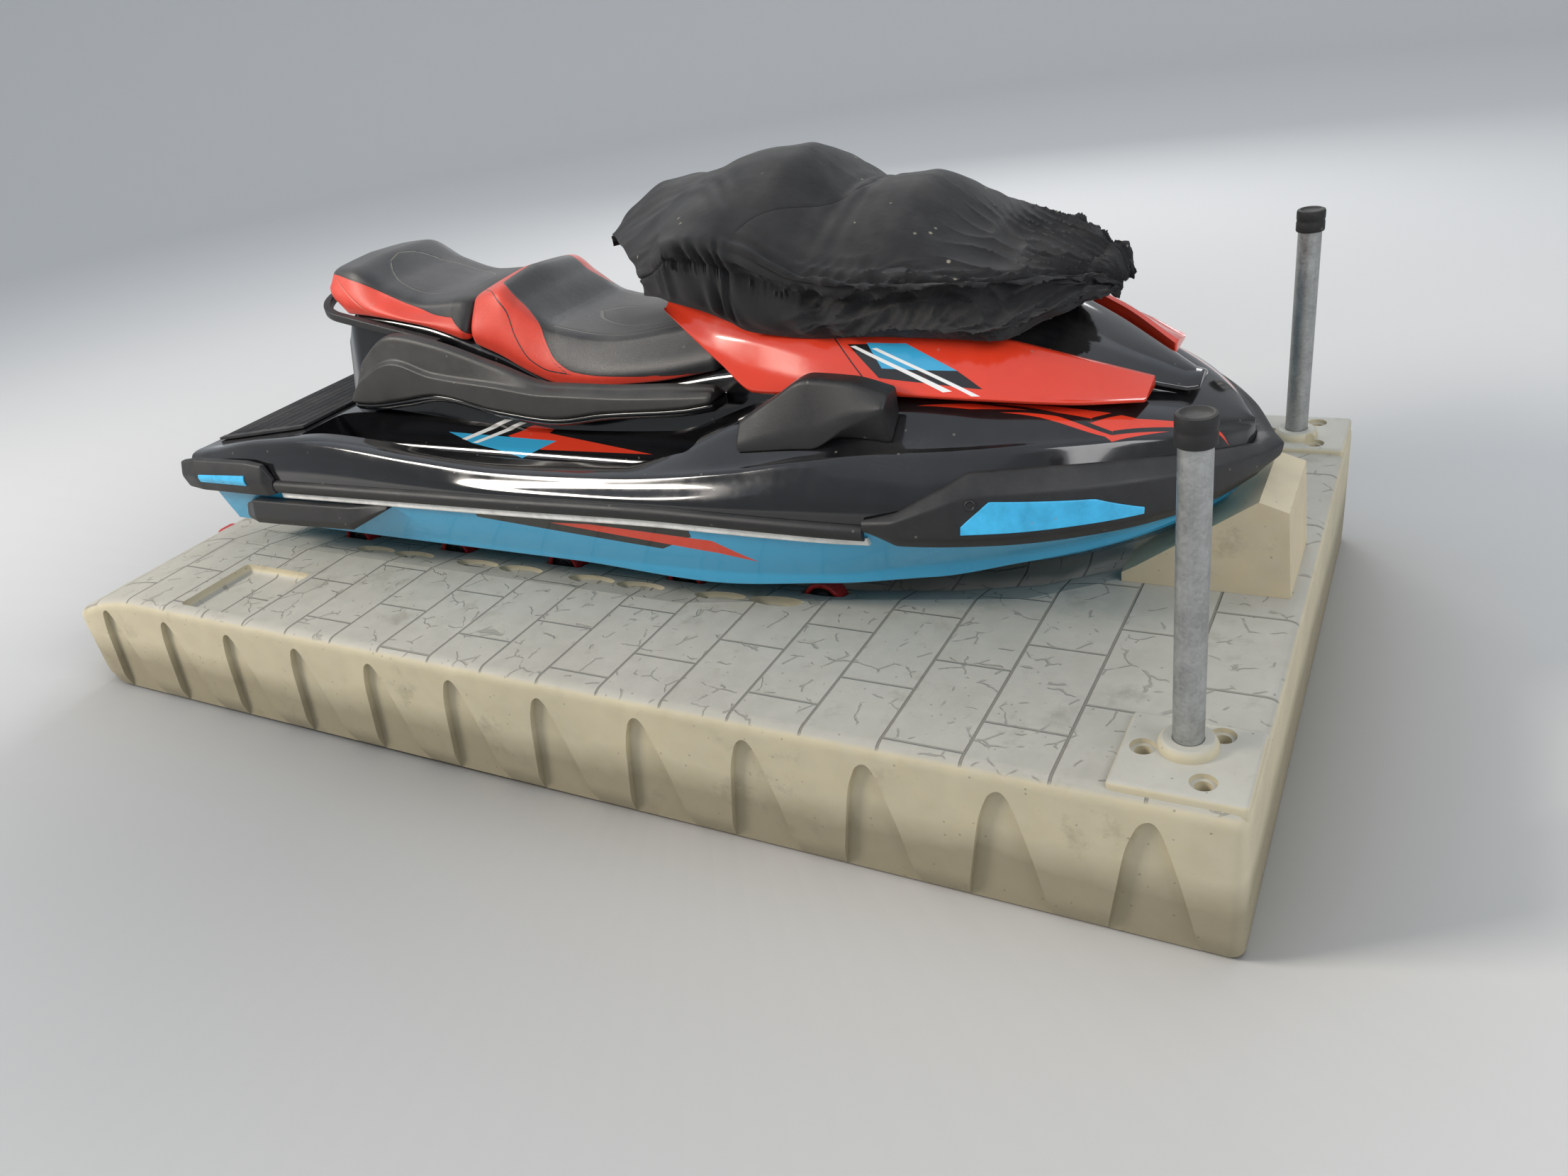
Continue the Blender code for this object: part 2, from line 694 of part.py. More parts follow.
def make_deck(maker):
    deck = maker.add("deck", shell_loft("deck", deck_half, stations(*SHELL)), "gloss_black")
    rings = []
    for x in stations(SPINE_ROWS, SPINE_STEP):
        foot_y, top_y, top_z = read_rows(SPINE_ROWS, x)
        half = [(0, SPINE_FOOT), (foot_y, SPINE_FOOT), (top_y, top_z - SPINE_EDGE), (top_y - 0.02, top_z),
                (0, top_z)]
        rings.append([(x, y, z) for y, z in both_sides(half)])
    maker.join(deck, maker.cutter("spine", loft("spine", rings)))
    for side, sign in SIDES:
        low_y, high_y = sorted(sign * y for y in FOOTWELL_YS)
        low, high = (FOOTWELL_XS[0], low_y, FOOTWELL_Z), (FOOTWELL_XS[1], high_y, DECK_CLEAR)
        well = maker.cutter("footwell_" + side, block("footwell_" + side, low, high))
        bevel(well, 0.03, 2)
        maker.cut(deck, well)
    low, high = STORAGE_BIN
    bin_cutter = maker.cutter("storage_bin", block("storage_bin", low, high))
    bevel(bin_cutter, 0.03, 2)
    maker.cut(deck, bin_cutter)
    for side, sign in SIDES:
        low_y, high_y = sorted(sign * y for y in FOOT_MAT_YS)
        low = (FOOTWELL_XS[0] + 0.035, low_y, FOOTWELL_Z + GAP)
        mat = block("foot_mat_" + side, low, (FOOTWELL_XS[1] - 0.035, high_y, FOOTWELL_Z + MAT_THICK))
        bevel(maker.add("foot_mat_" + side, mat, "mat_rubber"), 0.002, 1)


def make_stern_mat(maker):
    rings = []
    for x in carrier_stations(STERN_X + 0.025, CAP_FRONT - 0.01, SHELL):
        low = [(y, deck_top(x, y) + FIT + 0.006 * y) for y in (0, 0.55 * deck_at(x)[7, 0], 0.40)]
        high = [(y, z + MAT_THICK) for y, z in reversed(low)]
        rings.append([(x, y, z) for y, z in both_sides(low + high)])
    maker.add("stern_mat", loft("stern_mat", rings), "mat_rubber")


def rail_stations(low, high):
    return carrier_stations(low, high, SHELL)


def make_rails(maker):
    for side, sign in SIDES:
        rings = []
        for x in rail_stations(CAP_FRONT + 0.002, BUMPER_REAR - 0.002):
            rail_y, rail_z = rail_at(x)
            rings.append([(x, sign * (rail_y + out), rail_z + up) for out, up in RAIL_PROFILE])
        maker.add("rub_rail_" + side, loft("rub_rail_" + side, rings), "matte_black")


def flank_point(x, share):
    """A point on the deck's side: share 0 at the rail, 1 at the crease, 2 under the gunwale."""
    rail, crease, under = deck_at(x)[2:5]
    return rail + share * (crease - rail) if share < 1 else crease + (share - 1) * (under - crease)


def bumper_ring(x, side, normal):
    """Section of the bumper: its inner face lies on the deck's side, its outer face stands off along normal.

    At the rear it runs to a point, from a growing top edge and a falling lower one.
    """
    rail_y, rail_z = rail_at(x)
    up = np.interp(x, (BUMPER_REAR, 1.18), (0.5, 1.87))
    down = np.interp(x, (BUMPER_REAR, 1.03), (0.1, 1))
    crease_y, crease_z = flank_point(x, min(1, 0.6 * up))
    top_y, top_z = flank_point(x, up) + (0.002, 0)
    ahead = FIT if x == BOW_X else 0
    slack = 0.007 if x > 1.6 else 0.0055
    inner = [(rail_y + FIT, rail_z - 0.034 * down), (rail_y + FIT, rail_z + 0.001),
             (crease_y + slack, crease_z), (top_y + slack, top_z)]
    ring = [(x + ahead, side * y, z) for y, z in inner]
    thick = 0.4 + 0.6 * down
    for out, base, z in (
        (0.018, top_y, top_z + 0.003),
        (0.042, 0.5 * (crease_y + top_y), 0.45 * crease_z + 0.55 * top_z),
        (0.038, rail_y, rail_z - 0.004 * down),
        (0.012, rail_y, rail_z - 0.036 * down),
    ):
        step = thick * out
        ring.append((x + ahead + normal[0] * step, side * (base + FIT) + normal[1] * step, z))
    return ring


def bumper_stations():
    return sorted({*rail_stations(BUMPER_REAR, BOW_X), *INSERT_ENDS, *BUMPER_STATIONS})


def bumper_normal(x):
    """Outward normal of the rail's outline in plan, on the left side."""
    step = 0.01
    low, high = (read_rows(HULL_ROWS, at)[3] for at in (x - step, min(x + step, BOW_X)))
    run = min(x + step, BOW_X) - (x - step)
    return np.array((low - high, run)) / np.hypot(low - high, run)


def make_bumper(maker):
    right = []
    for x in bumper_stations():
        nx, ny = bumper_normal(x)
        right.append(bumper_ring(x, -1, (nx, -ny)))
    left = [[(x, -y, z) for x, y, z in ring] for ring in reversed(right)]
    tip = bumper_ring(BOW_X, 0, (1.55, 0))
    maker.add("bow_bumper", loft("bow_bumper", right + [tip] + left), "matte_black")


def make_inserts(maker):
    """Blue windows on the bumper's flanks, between the two outer corners of its section."""
    for side, sign in SIDES:
        rings = []
        for x in (at for at in bumper_stations() if INSERT_ENDS[0] <= at <= INSERT_ENDS[1]):
            normal = Vector((*bumper_normal(x), 0))
            ring = bumper_ring(x, 1, bumper_normal(x))
            high, low = Vector(ring[5]), Vector(ring[6])
            top = np.interp(x, (INSERT_ENDS[0], 1.225, 1.42, INSERT_ENDS[1]), (0.32, 0.86, 0.70, 0.30))
            corners = [(0.12, FIT), (0.12, 0.004), (0.16, 0.006), (top - 0.04, 0.006), (top, 0.004),
                       (top, FIT)]
            points = [low.lerp(high, share) + out * normal for share, out in corners]
            rings.append([(at.x, sign * at.y, at.z) for at in points])
        maker.add("bumper_insert_" + side, loft("bumper_insert_" + side, rings), "hull_blue")


def make_stern_caps(maker):
    for side, sign in SIDES:
        rings = []
        for x, out, low, high in STERN_CAP_ROWS:
            inner = rail_at(x)[0] + 2 * GAP
            half = [(inner, low), (inner + out * 0.6, low), (inner + out, 0.5 * (low + high)),
                    (inner + out * 0.5, high), (inner, high)]
            rings.append([(x, sign * y, z) for y, z in half])
        maker.add("stern_cap_" + side, loft("stern_cap_" + side, rings), "matte_black")


def make_sponsons(maker):
    """Boxes on the hull's sides, drawn out to a slanted point in front, with four upright slots."""
    for side, sign in SIDES:
        name = "sponson_" + side
        rings = []
        for x in carrier_stations(*SPONSON_ENDS, SHELL):
            columns = SPONSON_LOW, SPONSON_HIGH, SPONSON_OUT
            low, high, out = (np.interp(x, SPONSON_XS, column) for column in columns)
            wall = [(hull_side(x, z) + 2 * FIT, z) for z in (high, 0.5 * (low + high), low)]
            face = max(at[0] for at in wall) + out
            ring = [*wall, (face - 0.006, low), (face, 0.7 * low + 0.3 * high), (face - 0.012, high)]
            rings.append([(x, sign * y, z) for y, z in ring])
        sponson = maker.add(name, loft(name, rings), "matte_black")
        slots = []
        for x in SPONSON_SLOTS:
            low_y, high_y = sorted((sign * SLOT_Y, sign * (SLOT_Y + 0.1)))
            slots.append(((x - SLOT_HALF, low_y, SLOT_Z), (x + SLOT_HALF, high_y, SLOT_Z + 0.1)))
        maker.cut(sponson, maker.cutter("slots_" + side, blocks("slots_" + side, slots)))


def make_side_covers(maker):
    for side, sign in SIDES:
        name = "side_cover_" + side
        rings = []
        ends = SIDE_COVER_ROWS[0][0], SIDE_COVER_ROWS[-1][0]
        for x in carrier_stations(*ends, (SIDE_COVER_ROWS, 0.16), (SPINE_ROWS, SPINE_STEP)):
            top_z, low_z, out_y = read_rows(SIDE_COVER_ROWS, x)
            mid_z = 0.45 * top_z + 0.55 * low_z
            gap = 1.35 * fit(x, SPINE_ROWS, SPINE_STEP)
            half = [
                (spine_side(x, low_z) + gap, low_z), (out_y - 0.008, low_z), (out_y, low_z + 0.008),
                (out_y - 0.004, mid_z), (out_y - 0.020, mid_z + 0.012), (out_y - 0.030, top_z - 0.008),
                (out_y - 0.038, top_z), (SIDE_COVER_INNER, top_z),
            ]
            rings.append([(x, sign * y, z) for y, z in half])
        maker.add(name, loft(name, rings), "charcoal")


def make_seats(maker):
    for name, rows in (("front_seat", FRONT_SEAT_ROWS), ("rear_seat", REAR_SEAT_ROWS)):
        rings = []
        for x in carrier_stations(rows[0][0], rows[-1][0], (rows, 0.09), (SPINE_ROWS, SPINE_STEP)):
            foot_y, top_y, foot_z, top_z, middle_z = read_rows(rows, x)
            foot_z = max(foot_z, spine_at(x)[2] + FIT)
            half = [
                (0, foot_z), (foot_y, foot_z), (foot_y + 0.006, foot_z + 0.3 * (top_z - foot_z)),
                (top_y + 0.02, top_z - 0.025), (top_y, top_z), (0.5 * top_y, 0.4 * top_z + 0.6 * middle_z),
                (0, middle_z),
            ]
            rings.append([(x, y, z) for y, z in both_sides(half)])
        maker.add(name, loft(name, rings), "vinyl")


def make_grab_rail(maker):
    """A flat loop round the end of the rear seat, on two stays that land on the spine."""
    outer, inner = [], []
    for k in range(13):
        angle = pi / 2 + pi * k / 12
        outer.append((-0.90 + 0.18 * cos(angle), 0.268 * sin(angle)))
        inner.append((-0.90 + 0.15 * cos(angle), 0.243 * sin(angle)))
    outline = [(-0.52, 0.268)] + outer + [(-0.52, -0.268), (-0.52, -0.243)] + inner[::-1] + [(-0.52, 0.243)]

    def build(form):
        low = [form.verts.new((x, y, 0.985 - 0.20 * (x + 0.52))) for x, y in outline]
        high = [form.verts.new((x, y, 1.010 - 0.20 * (x + 0.52))) for x, y in outline]
        form.faces.new(low)
        form.faces.new(high)
        for k in range(len(outline)):
            after = (k + 1) % len(outline)
            form.faces.new((low[k], low[after], high[after], high[k]))

    rail = maker.add("grab_rail", mesh_from("grab_rail", build), "matte_black")
    x = SPINE_ROWS[2][0]
    for side, sign in SIDES:
        low_y, high_y = sorted((sign * (spine_side(x, 0.99) + FIT), sign * 0.255))
        stay = block("rail_stay_" + side, (x - 0.02, low_y, 0.99), (x + 0.02, high_y, 1.02))
        maker.join(rail, maker.cutter("rail_stay_" + side, stay))


def fairing_stations():
    return carrier_stations(*FAIRING_ENDS, (SPINE_ROWS, SPINE_STEP), (FAIRING_ROWS, 0.2))


def fairing_half(x):
    """Section of a fairing: its inner top edge, round the outside, to its foot on the spine."""
    top_y, top_z, knee_y, knee_z, low_y, low_z = read_rows(FAIRING_ROWS, x)
    gap = fit(x, SPINE_ROWS, SPINE_STEP) if 0.9 < x < 1.2 else 1.6 * LOOSE_FIT
    inner_y = max(top_y - 0.018, spine_side(x, top_z) + gap)
    foot_y = max(spine_side(x, low_z) + gap, inner_y if x > 1.2 else 0)
    foot_z = max(low_z, deck_top(x, foot_y) + LOOSE_FIT)
    low_z = max(low_z, deck_top(x, low_y) + LOOSE_FIT)
    return [
        (inner_y, top_z - 0.004), (max(top_y, inner_y + 0.006), top_z), (knee_y, knee_z),
        (0.5 * (knee_y + low_y) + 0.006, 0.5 * (knee_z + low_z)), (low_y, low_z + 0.01),
        (low_y - 0.008, low_z), (foot_y, foot_z),
    ]


def make_fairings(maker):
    for side, sign in SIDES:
        name = "fairing_" + side
        rings = [[(x, sign * y, z) for y, z in fairing_half(x)] for x in fairing_stations()]
        maker.add(name, loft(name, rings), "orange_red")


def make_guards(maker):
    """Boxes on the shoulders ahead of the footwells. Their outer edge rises off the deck towards the bow."""
    for side, sign in SIDES:
        name = "footwell_guard_" + side
        rings = []
        for x in carrier_stations(GUARD_ROWS[0][0], GUARD_ROWS[-1][0], (GUARD_ROWS, 0.2), SHELL):
            lift, top = read_rows(GUARD_ROWS, x)
            inner_y = max(GUARD_INNER + 0.01, deck_at(x)[7, 0])
            foot = [(y, deck_top(x, y) + fit(x, *SHELL)) for y in (GUARD_INNER, inner_y, GUARD_OUTER - 0.03)]
            edge = deck_top(x, GUARD_OUTER) + LOOSE_FIT + lift
            ring = [*foot, (GUARD_OUTER, edge), (GUARD_OUTER, 0.7 * edge + 0.3 * top),
                    (GUARD_OUTER - 0.03, top), (GUARD_INNER, top)]
            rings.append([(x, sign * y, z) for y, z in ring])
        maker.add(name, loft(name, rings), "matte_black")


def make_hood(maker):
    rings = []
    tables = ((SPINE_ROWS, SPINE_STEP), (FAIRING_ROWS, 0.2), SHELL)
    fairing_tip = fairing_half(FAIRING_ENDS[1])[0][0]
    for x in sorted({*carrier_stations(*HOOD_ENDS, *tables), FAIRING_ENDS[1]}):
        edge = between(fairing_stations(), fairing_half, x)[0, 0]
        if x > FAIRING_ENDS[1]:
            edge = np.interp(x, (FAIRING_ENDS[1], HOOD_ENDS[1]), (fairing_tip, 0.055))
        half_y = edge - RUNNING_GAP
        low = max(spine_at(x)[2], deck_top(x, 0), deck_top(x, half_y)) + FIT
        crown = 0.21 * half_y
        half = [(0, low), (half_y, low), (half_y + 0.001, low + 0.010),
                (0.6 * half_y, low + 0.014 + 0.7 * crown), (0, low + 0.018 + crown)]
        rings.append([(x, y, z) for y, z in both_sides(half)])
    maker.add("hood", loft("hood", rings), "gloss_black")


def make_steering(maker):
    rings = []
    for x, half_y, top in ((0.475, 0.13, 1.02), (0.52, 0.15, 1.09), (0.70, 0.17, 1.13), (0.765, 0.17, 1.10)):
        low = spine_at(x)[2] + GAP
        half = [(0, low), (half_y, low), (half_y, top - 0.03), (half_y - 0.03, top), (0, top)]
        rings.append([(x, y, z) for y, z in both_sides(half)])
    dash = maker.add("dash_console", loft("dash_console", rings), "matte_black")
    turn = Matrix.Translation(STEER_PIVOT) @ Matrix.Rotation(-STEER_TILT, 4, "Y")
    socket = rods("column_socket", COLUMN_RADIUS + FIT, [((0, 0, -0.09), 0.4)], "Z")
    socket.transform(turn)
    maker.cut(dash, maker.cutter("column_socket", socket))
    column = rods("steering_column", COLUMN_RADIUS, [((0, 0, -0.085), 0.165)], "Z")
    column.transform(turn)
    column = maker.add("steering_column", column, "matte_black")
    pad = block("bar_pad", (-0.045, -0.09, 0.06), (0.045, 0.09, 0.13))
    pad.transform(turn)
    maker.join(column, bevel(maker.cutter("bar_pad", pad), 0.012))
    points = []
    for k in range(11):
        y = BAR_HALF * (k / 5 - 1)
        out = (abs(y) / BAR_HALF) ** 2
        points.append((-0.10 * out, y, 0.095 + 0.055 * out))
    bar = tube_mesh("handlebar", points, 0.0125)
    bar.transform(turn)
    bore = tube_mesh("bar_bore", points, 0.0130)
    bore.transform(turn)
    maker.add("handlebar", bar, "steel")
    maker.cut(column, maker.cutter("bar_bore", bore))


def make_mirrors(maker):
    """Each mirror's stalk stands on the top edge of a fairing."""
    for side, sign in SIDES:
        rings = []
        for x in (0.96, 1.00):
            foot_y, foot_z = between(fairing_stations(), fairing_half, x)[1]
            foot_z += FIT
            ring = [(foot_y - 0.002, foot_z), (foot_y + 0.014, foot_z), (0.30, 1.19), (0.256, 1.19)]
            rings.append([(x, sign * y, z) for y, z in ring])
        mirror = maker.add("mirror_" + side, loft("mirror_" + side, rings), "matte_black")
        low_y, high_y = sorted(sign * y for y in MIRROR_HEAD_YS)
        head = block("mirror_head_" + side, (0.93, low_y, 1.16), (1.02, high_y, 1.215))
        maker.join(mirror, bevel(maker.cutter("mirror_head_" + side, head), 0.015))


def make_jet(maker):
    length = PUMP_X[1] - PUMP_X[0]
    outer = PUMP_BORE + PUMP_WALL
    profile = [(outer, 0), (outer, length), (OUTLET_BASE, length), (OUTLET_TIP, length + OUTLET_LENGTH),
               (OUTLET_TIP - 0.0055, length + OUTLET_LENGTH), (OUTLET_BASE - 0.0055, length - 0.004),
               (PUMP_BORE, length - 0.010), (PUMP_BORE, 0)]
    mesh = turned("pump_housing", profile, 24)
    mesh.transform(Matrix.Translation((PUMP_X[1], 0, PUMP_Z)) @ Matrix.Rotation(-pi / 2, 4, "Y"))
    housing = maker.add("pump_housing", mesh, "cast_alloy")
    low, high = (PUMP_X[0] + 0.05, -0.05, PUMP_Z + PUMP_BORE), (PUMP_X[1], 0.05, TUNNEL_TOP - GAP)
    maker.join(housing, maker.cutter("pump_foot", block("pump_foot", low, high)))
    reach = PUMP_BORE + 0.004
    for name, half_y, half_z in (("stator", reach, 0.004), ("stator_upright", 0.004, reach)):
        low = (PUMP_X[0] + 0.01, -half_y, PUMP_Z - half_z)
        high = (PUMP_X[0] + 0.05, half_y, PUMP_Z + half_z)
        maker.join(housing, maker.cutter(name, block(name, low, high)))
    hub = rods("stator_hub", 0.026, [((PUMP_X[0] + 0.005, 0, PUMP_Z), 0.055)], "X")
    maker.join(housing, maker.cutter("stator_hub", hub))
    make_impeller(maker)
    make_mounts(maker, housing)
    wing = TUNNEL_HALF - GAP
    half = [(0, KEEL_Z), (wing, KEEL_Z + wing * tan(DEADRISE))]
    half += [(y, z + PLATE_THICK) for y, z in reversed(half)]
    rings = [[(x, y, z) for y, z in both_sides(half)] for x in (TRANSOM_X - 0.03, TUNNEL_FRONT - GAP)]
    maker.add("ride_plate", loft("ride_plate", rings), "cast_alloy")
    low, high = INTAKE
    low, high = (TUNNEL_FRONT + 0.01, low[1] + GAP, GRATE_ZS[0]), (high[0] - GAP, high[1] - GAP, GRATE_ZS[1])
    grate = maker.add("intake_grate", block("intake_grate", low, high), "cast_alloy")
    slots = [((low[0] + 0.02, y - 0.013, 0.2), (high[0] - 0.02, y + 0.013, 0.4)) for y in GRATE_SLOTS]
    maker.cut(grate, maker.cutter("grate_slots", blocks("grate_slots", slots)))


def make_mounts(maker, housing):
    """Ears over and under the nozzle's bosses, and a lug with a pin on each side for the bucket."""
    rear = PUMP_X[0]
    # Part, its ends along the craft, and how near and far it stands from the pump's axis
    far = EAR + 0.01
    ears = (("leg", rear, rear + 0.04, 0.080, far), ("ear", rear - 0.05, rear + 0.02, EAR, far))
    for side, sign in (("top", 1), ("bottom", -1)):
        for part, x0, x1, near, far in ears:
            low_z, high_z = sorted((PUMP_Z + sign * near, PUMP_Z + sign * far))
            name = f"{part}_{side}"
            maker.join(housing, maker.cutter(name, block(name, (x0, -0.014, low_z), (x1, 0.014, high_z))))
    lugs = (("arm", rear, rear + 0.04, 0.080), ("lug", BUCKET_PIVOT_X - 0.014, rear + 0.02, LUG))
    for side, sign in SIDES:
        for part, x0, x1, near in lugs:
            low_y, high_y = sorted((sign * near, sign * (LUG + 0.006)))
            low, high = (x0, low_y, PUMP_Z - 0.012), (x1, high_y, PUMP_Z + 0.012)
            name = f"{part}_{side}"
            maker.join(housing, maker.cutter(name, block(name, low, high)))
    pins = [((BUCKET_PIVOT_X, low_y, PUMP_Z), 0.012) for low_y in (LUG + 0.002, -LUG - 0.014)]
    maker.join(housing, maker.cutter("bucket_pins", rods("bucket_pins", PIN_RADIUS, pins, "Y", 12)))


def make_impeller(maker):
    """A hub with three wide twisted blades."""
    x0, x1 = PUMP_X[0] + 0.0606, PUMP_X[1] - 0.03
    impeller = maker.add("impeller", rods("impeller", 0.024, [((x0, 0, PUMP_Z), x1 - x0)], "X"), "steel")
    tip = PUMP_BORE - LOOSE_FIT
    for blade in range(3):
        rings = []
        for k in range(7):
            turn = radians(7 + 120 * blade + 25 * k)
            x = x0 + 0.02 + (x1 - x0 - 0.04) * k / 6
            ring = []
            for radius, back in ((0.012, -0.003), (tip, -0.002), (tip, 0.002), (0.012, 0.003)):
                ring.append((x + back, radius * cos(turn), PUMP_Z + radius * sin(turn)))
            rings.append(ring)
        name = f"blade_{blade + 1}"
        maker.join(impeller, maker.cutter(name, loft(name, rings)))


def make_nozzle(maker):
    name = "steering_nozzle"
    mesh = turned(name, NOZZLE_PROFILE, 24)
    mesh.transform(Matrix.Translation((NOZZLE_PIVOT_X, 0, PUMP_Z)) @ Matrix.Rotation(-pi / 2, 4, "Y"))
    nozzle = maker.add(name, mesh, "cast_alloy")
    feet = (PUMP_Z + 0.084 - GAP, PUMP_Z - EAR + GAP)
    bosses = [((NOZZLE_PIVOT_X, 0, low_z), EAR - 0.084) for low_z in feet]
    maker.join(nozzle, maker.cutter("nozzle_bosses", rods("nozzle_bosses", 0.012, bosses, "Z")))
    inner = LUG + 0.006 + GAP
    outer = inner + BUCKET_WALL
    near, far = BUCKET_RADIUS, BUCKET_RADIUS + BUCKET_WALL
    rings = []
    for k in range(8):
        angle = radians(8 + 62 * k / 7)
        ring = []
        for radius, y in ((near, -outer), (far, -outer), (far, outer), (near, outer)):
            ring.append((BUCKET_PIVOT_X - radius * cos(angle), y, PUMP_Z + radius * sin(angle)))
        rings.append(ring)
    bucket = maker.add("reverse_bucket", loft("reverse_bucket", rings), "cast_alloy")
    for side, sign in SIDES:
        low_y, high_y = sorted((sign * inner, sign * outer))
        arm = block("bucket_arm_" + side, (-0.148, low_y, -0.014), (0.014, high_y, 0.014))
        arm.transform(Matrix.Translation((BUCKET_PIVOT_X, 0, PUMP_Z)) @ Matrix.Rotation(radians(40), 4, "Y"))
        maker.join(bucket, maker.cutter("bucket_arm_" + side, arm))
    bores = [((BUCKET_PIVOT_X, low_y, PUMP_Z), 0.03) for low_y in (LUG, -LUG - 0.03)]
    maker.cut(bucket, maker.cutter("pin_bores", rods("pin_bores", PIN_RADIUS + AXLE_PLAY, bores, "Y", 12)))


def cover_foot(x, half_y, hem_z):
    """Where the hem ends: against the fairing's upper face, or tucked in where there is none."""
    if x < COVER_TUCK_END:
        return 0.93 * half_y, hem_z - 0.015
    top, knee = (Vector(at) for at in between(fairing_stations(), fairing_half, x)[1:3])
    out = Vector((top.y - knee.y, knee.x - top.x)).normalized()
    return top.lerp(knee, 0.5) + COVER_THICK * out


def make_cover(maker):
    """An arched sheet of even thickness over the steering and the hood, with its hem on the fairings."""

    def build(form):
        rows = []
        ends = COVER_ROWS[0][0], COVER_ROWS[-1][0]
        for x in carrier_stations(*ends, (COVER_ROWS, 0.14), (FAIRING_ROWS, 0.2)):
            skew, half_y, hem_z, top_z = read_rows(COVER_ROWS, x)
            half = [cover_foot(x, half_y, hem_z)]
            for k in range(9):
                turn = pi * k / 16
                half.append((half_y * cos(turn), hem_z + (top_z - hem_z) * sin(turn) ** 0.8))
            whole = half + [(-y, z) for y, z in reversed(half[:-1])]
            rows.append([form.verts.new((x - skew * y, y, z)) for y, z in whole])
        for first, second in zip(rows, rows[1:]):
            for a, b, c, d in zip(first, first[1:], second[1:], second):
                form.faces.new((a, b, c, d))

    cover = maker.add("cover", mesh_from("cover", build), "cloth")
    wall = cover.modifiers.new("wall", "SOLIDIFY")
    wall.thickness = COVER_THICK
    wall.offset = -1


def float_top(x):
    """Height of the float's deck: flat, and rounded down at the rear."""
    behind = max(0.0, (-FLOAT_LENGTH / 2 + RAMP_LENGTH) - x) / RAMP_LENGTH
    return FLOAT_HEIGHT - RAMP_DROP * behind**2


def roller_places():
    """Names and axle middles of the rollers: a row under the hull, and one lower at the float's rear."""
    row = [(ROLLER_FRONT_X - k * ROLLER_PITCH, roller_height()) for k in range(ROLLER_ROW)]
    row.append((REAR_ROLLER_X, roller_height() - REAR_ROLLER_DROP))
    for side, sign in SIDES:
        for k, (x, z) in enumerate(row):
            yield f"roller_{side}_{k + 1}", Vector((x, sign * ROLLER_Y, z))


def roller_height():
    """Height of a roller's axle: its rim passes just under the hull's V at the roller's inner end."""
    inner = ROLLER_Y - ROLLER_WIDTH / 2
    return KEEL_Z + inner * tan(DEADRISE) - 0.005 - ROLLER_RADIUS


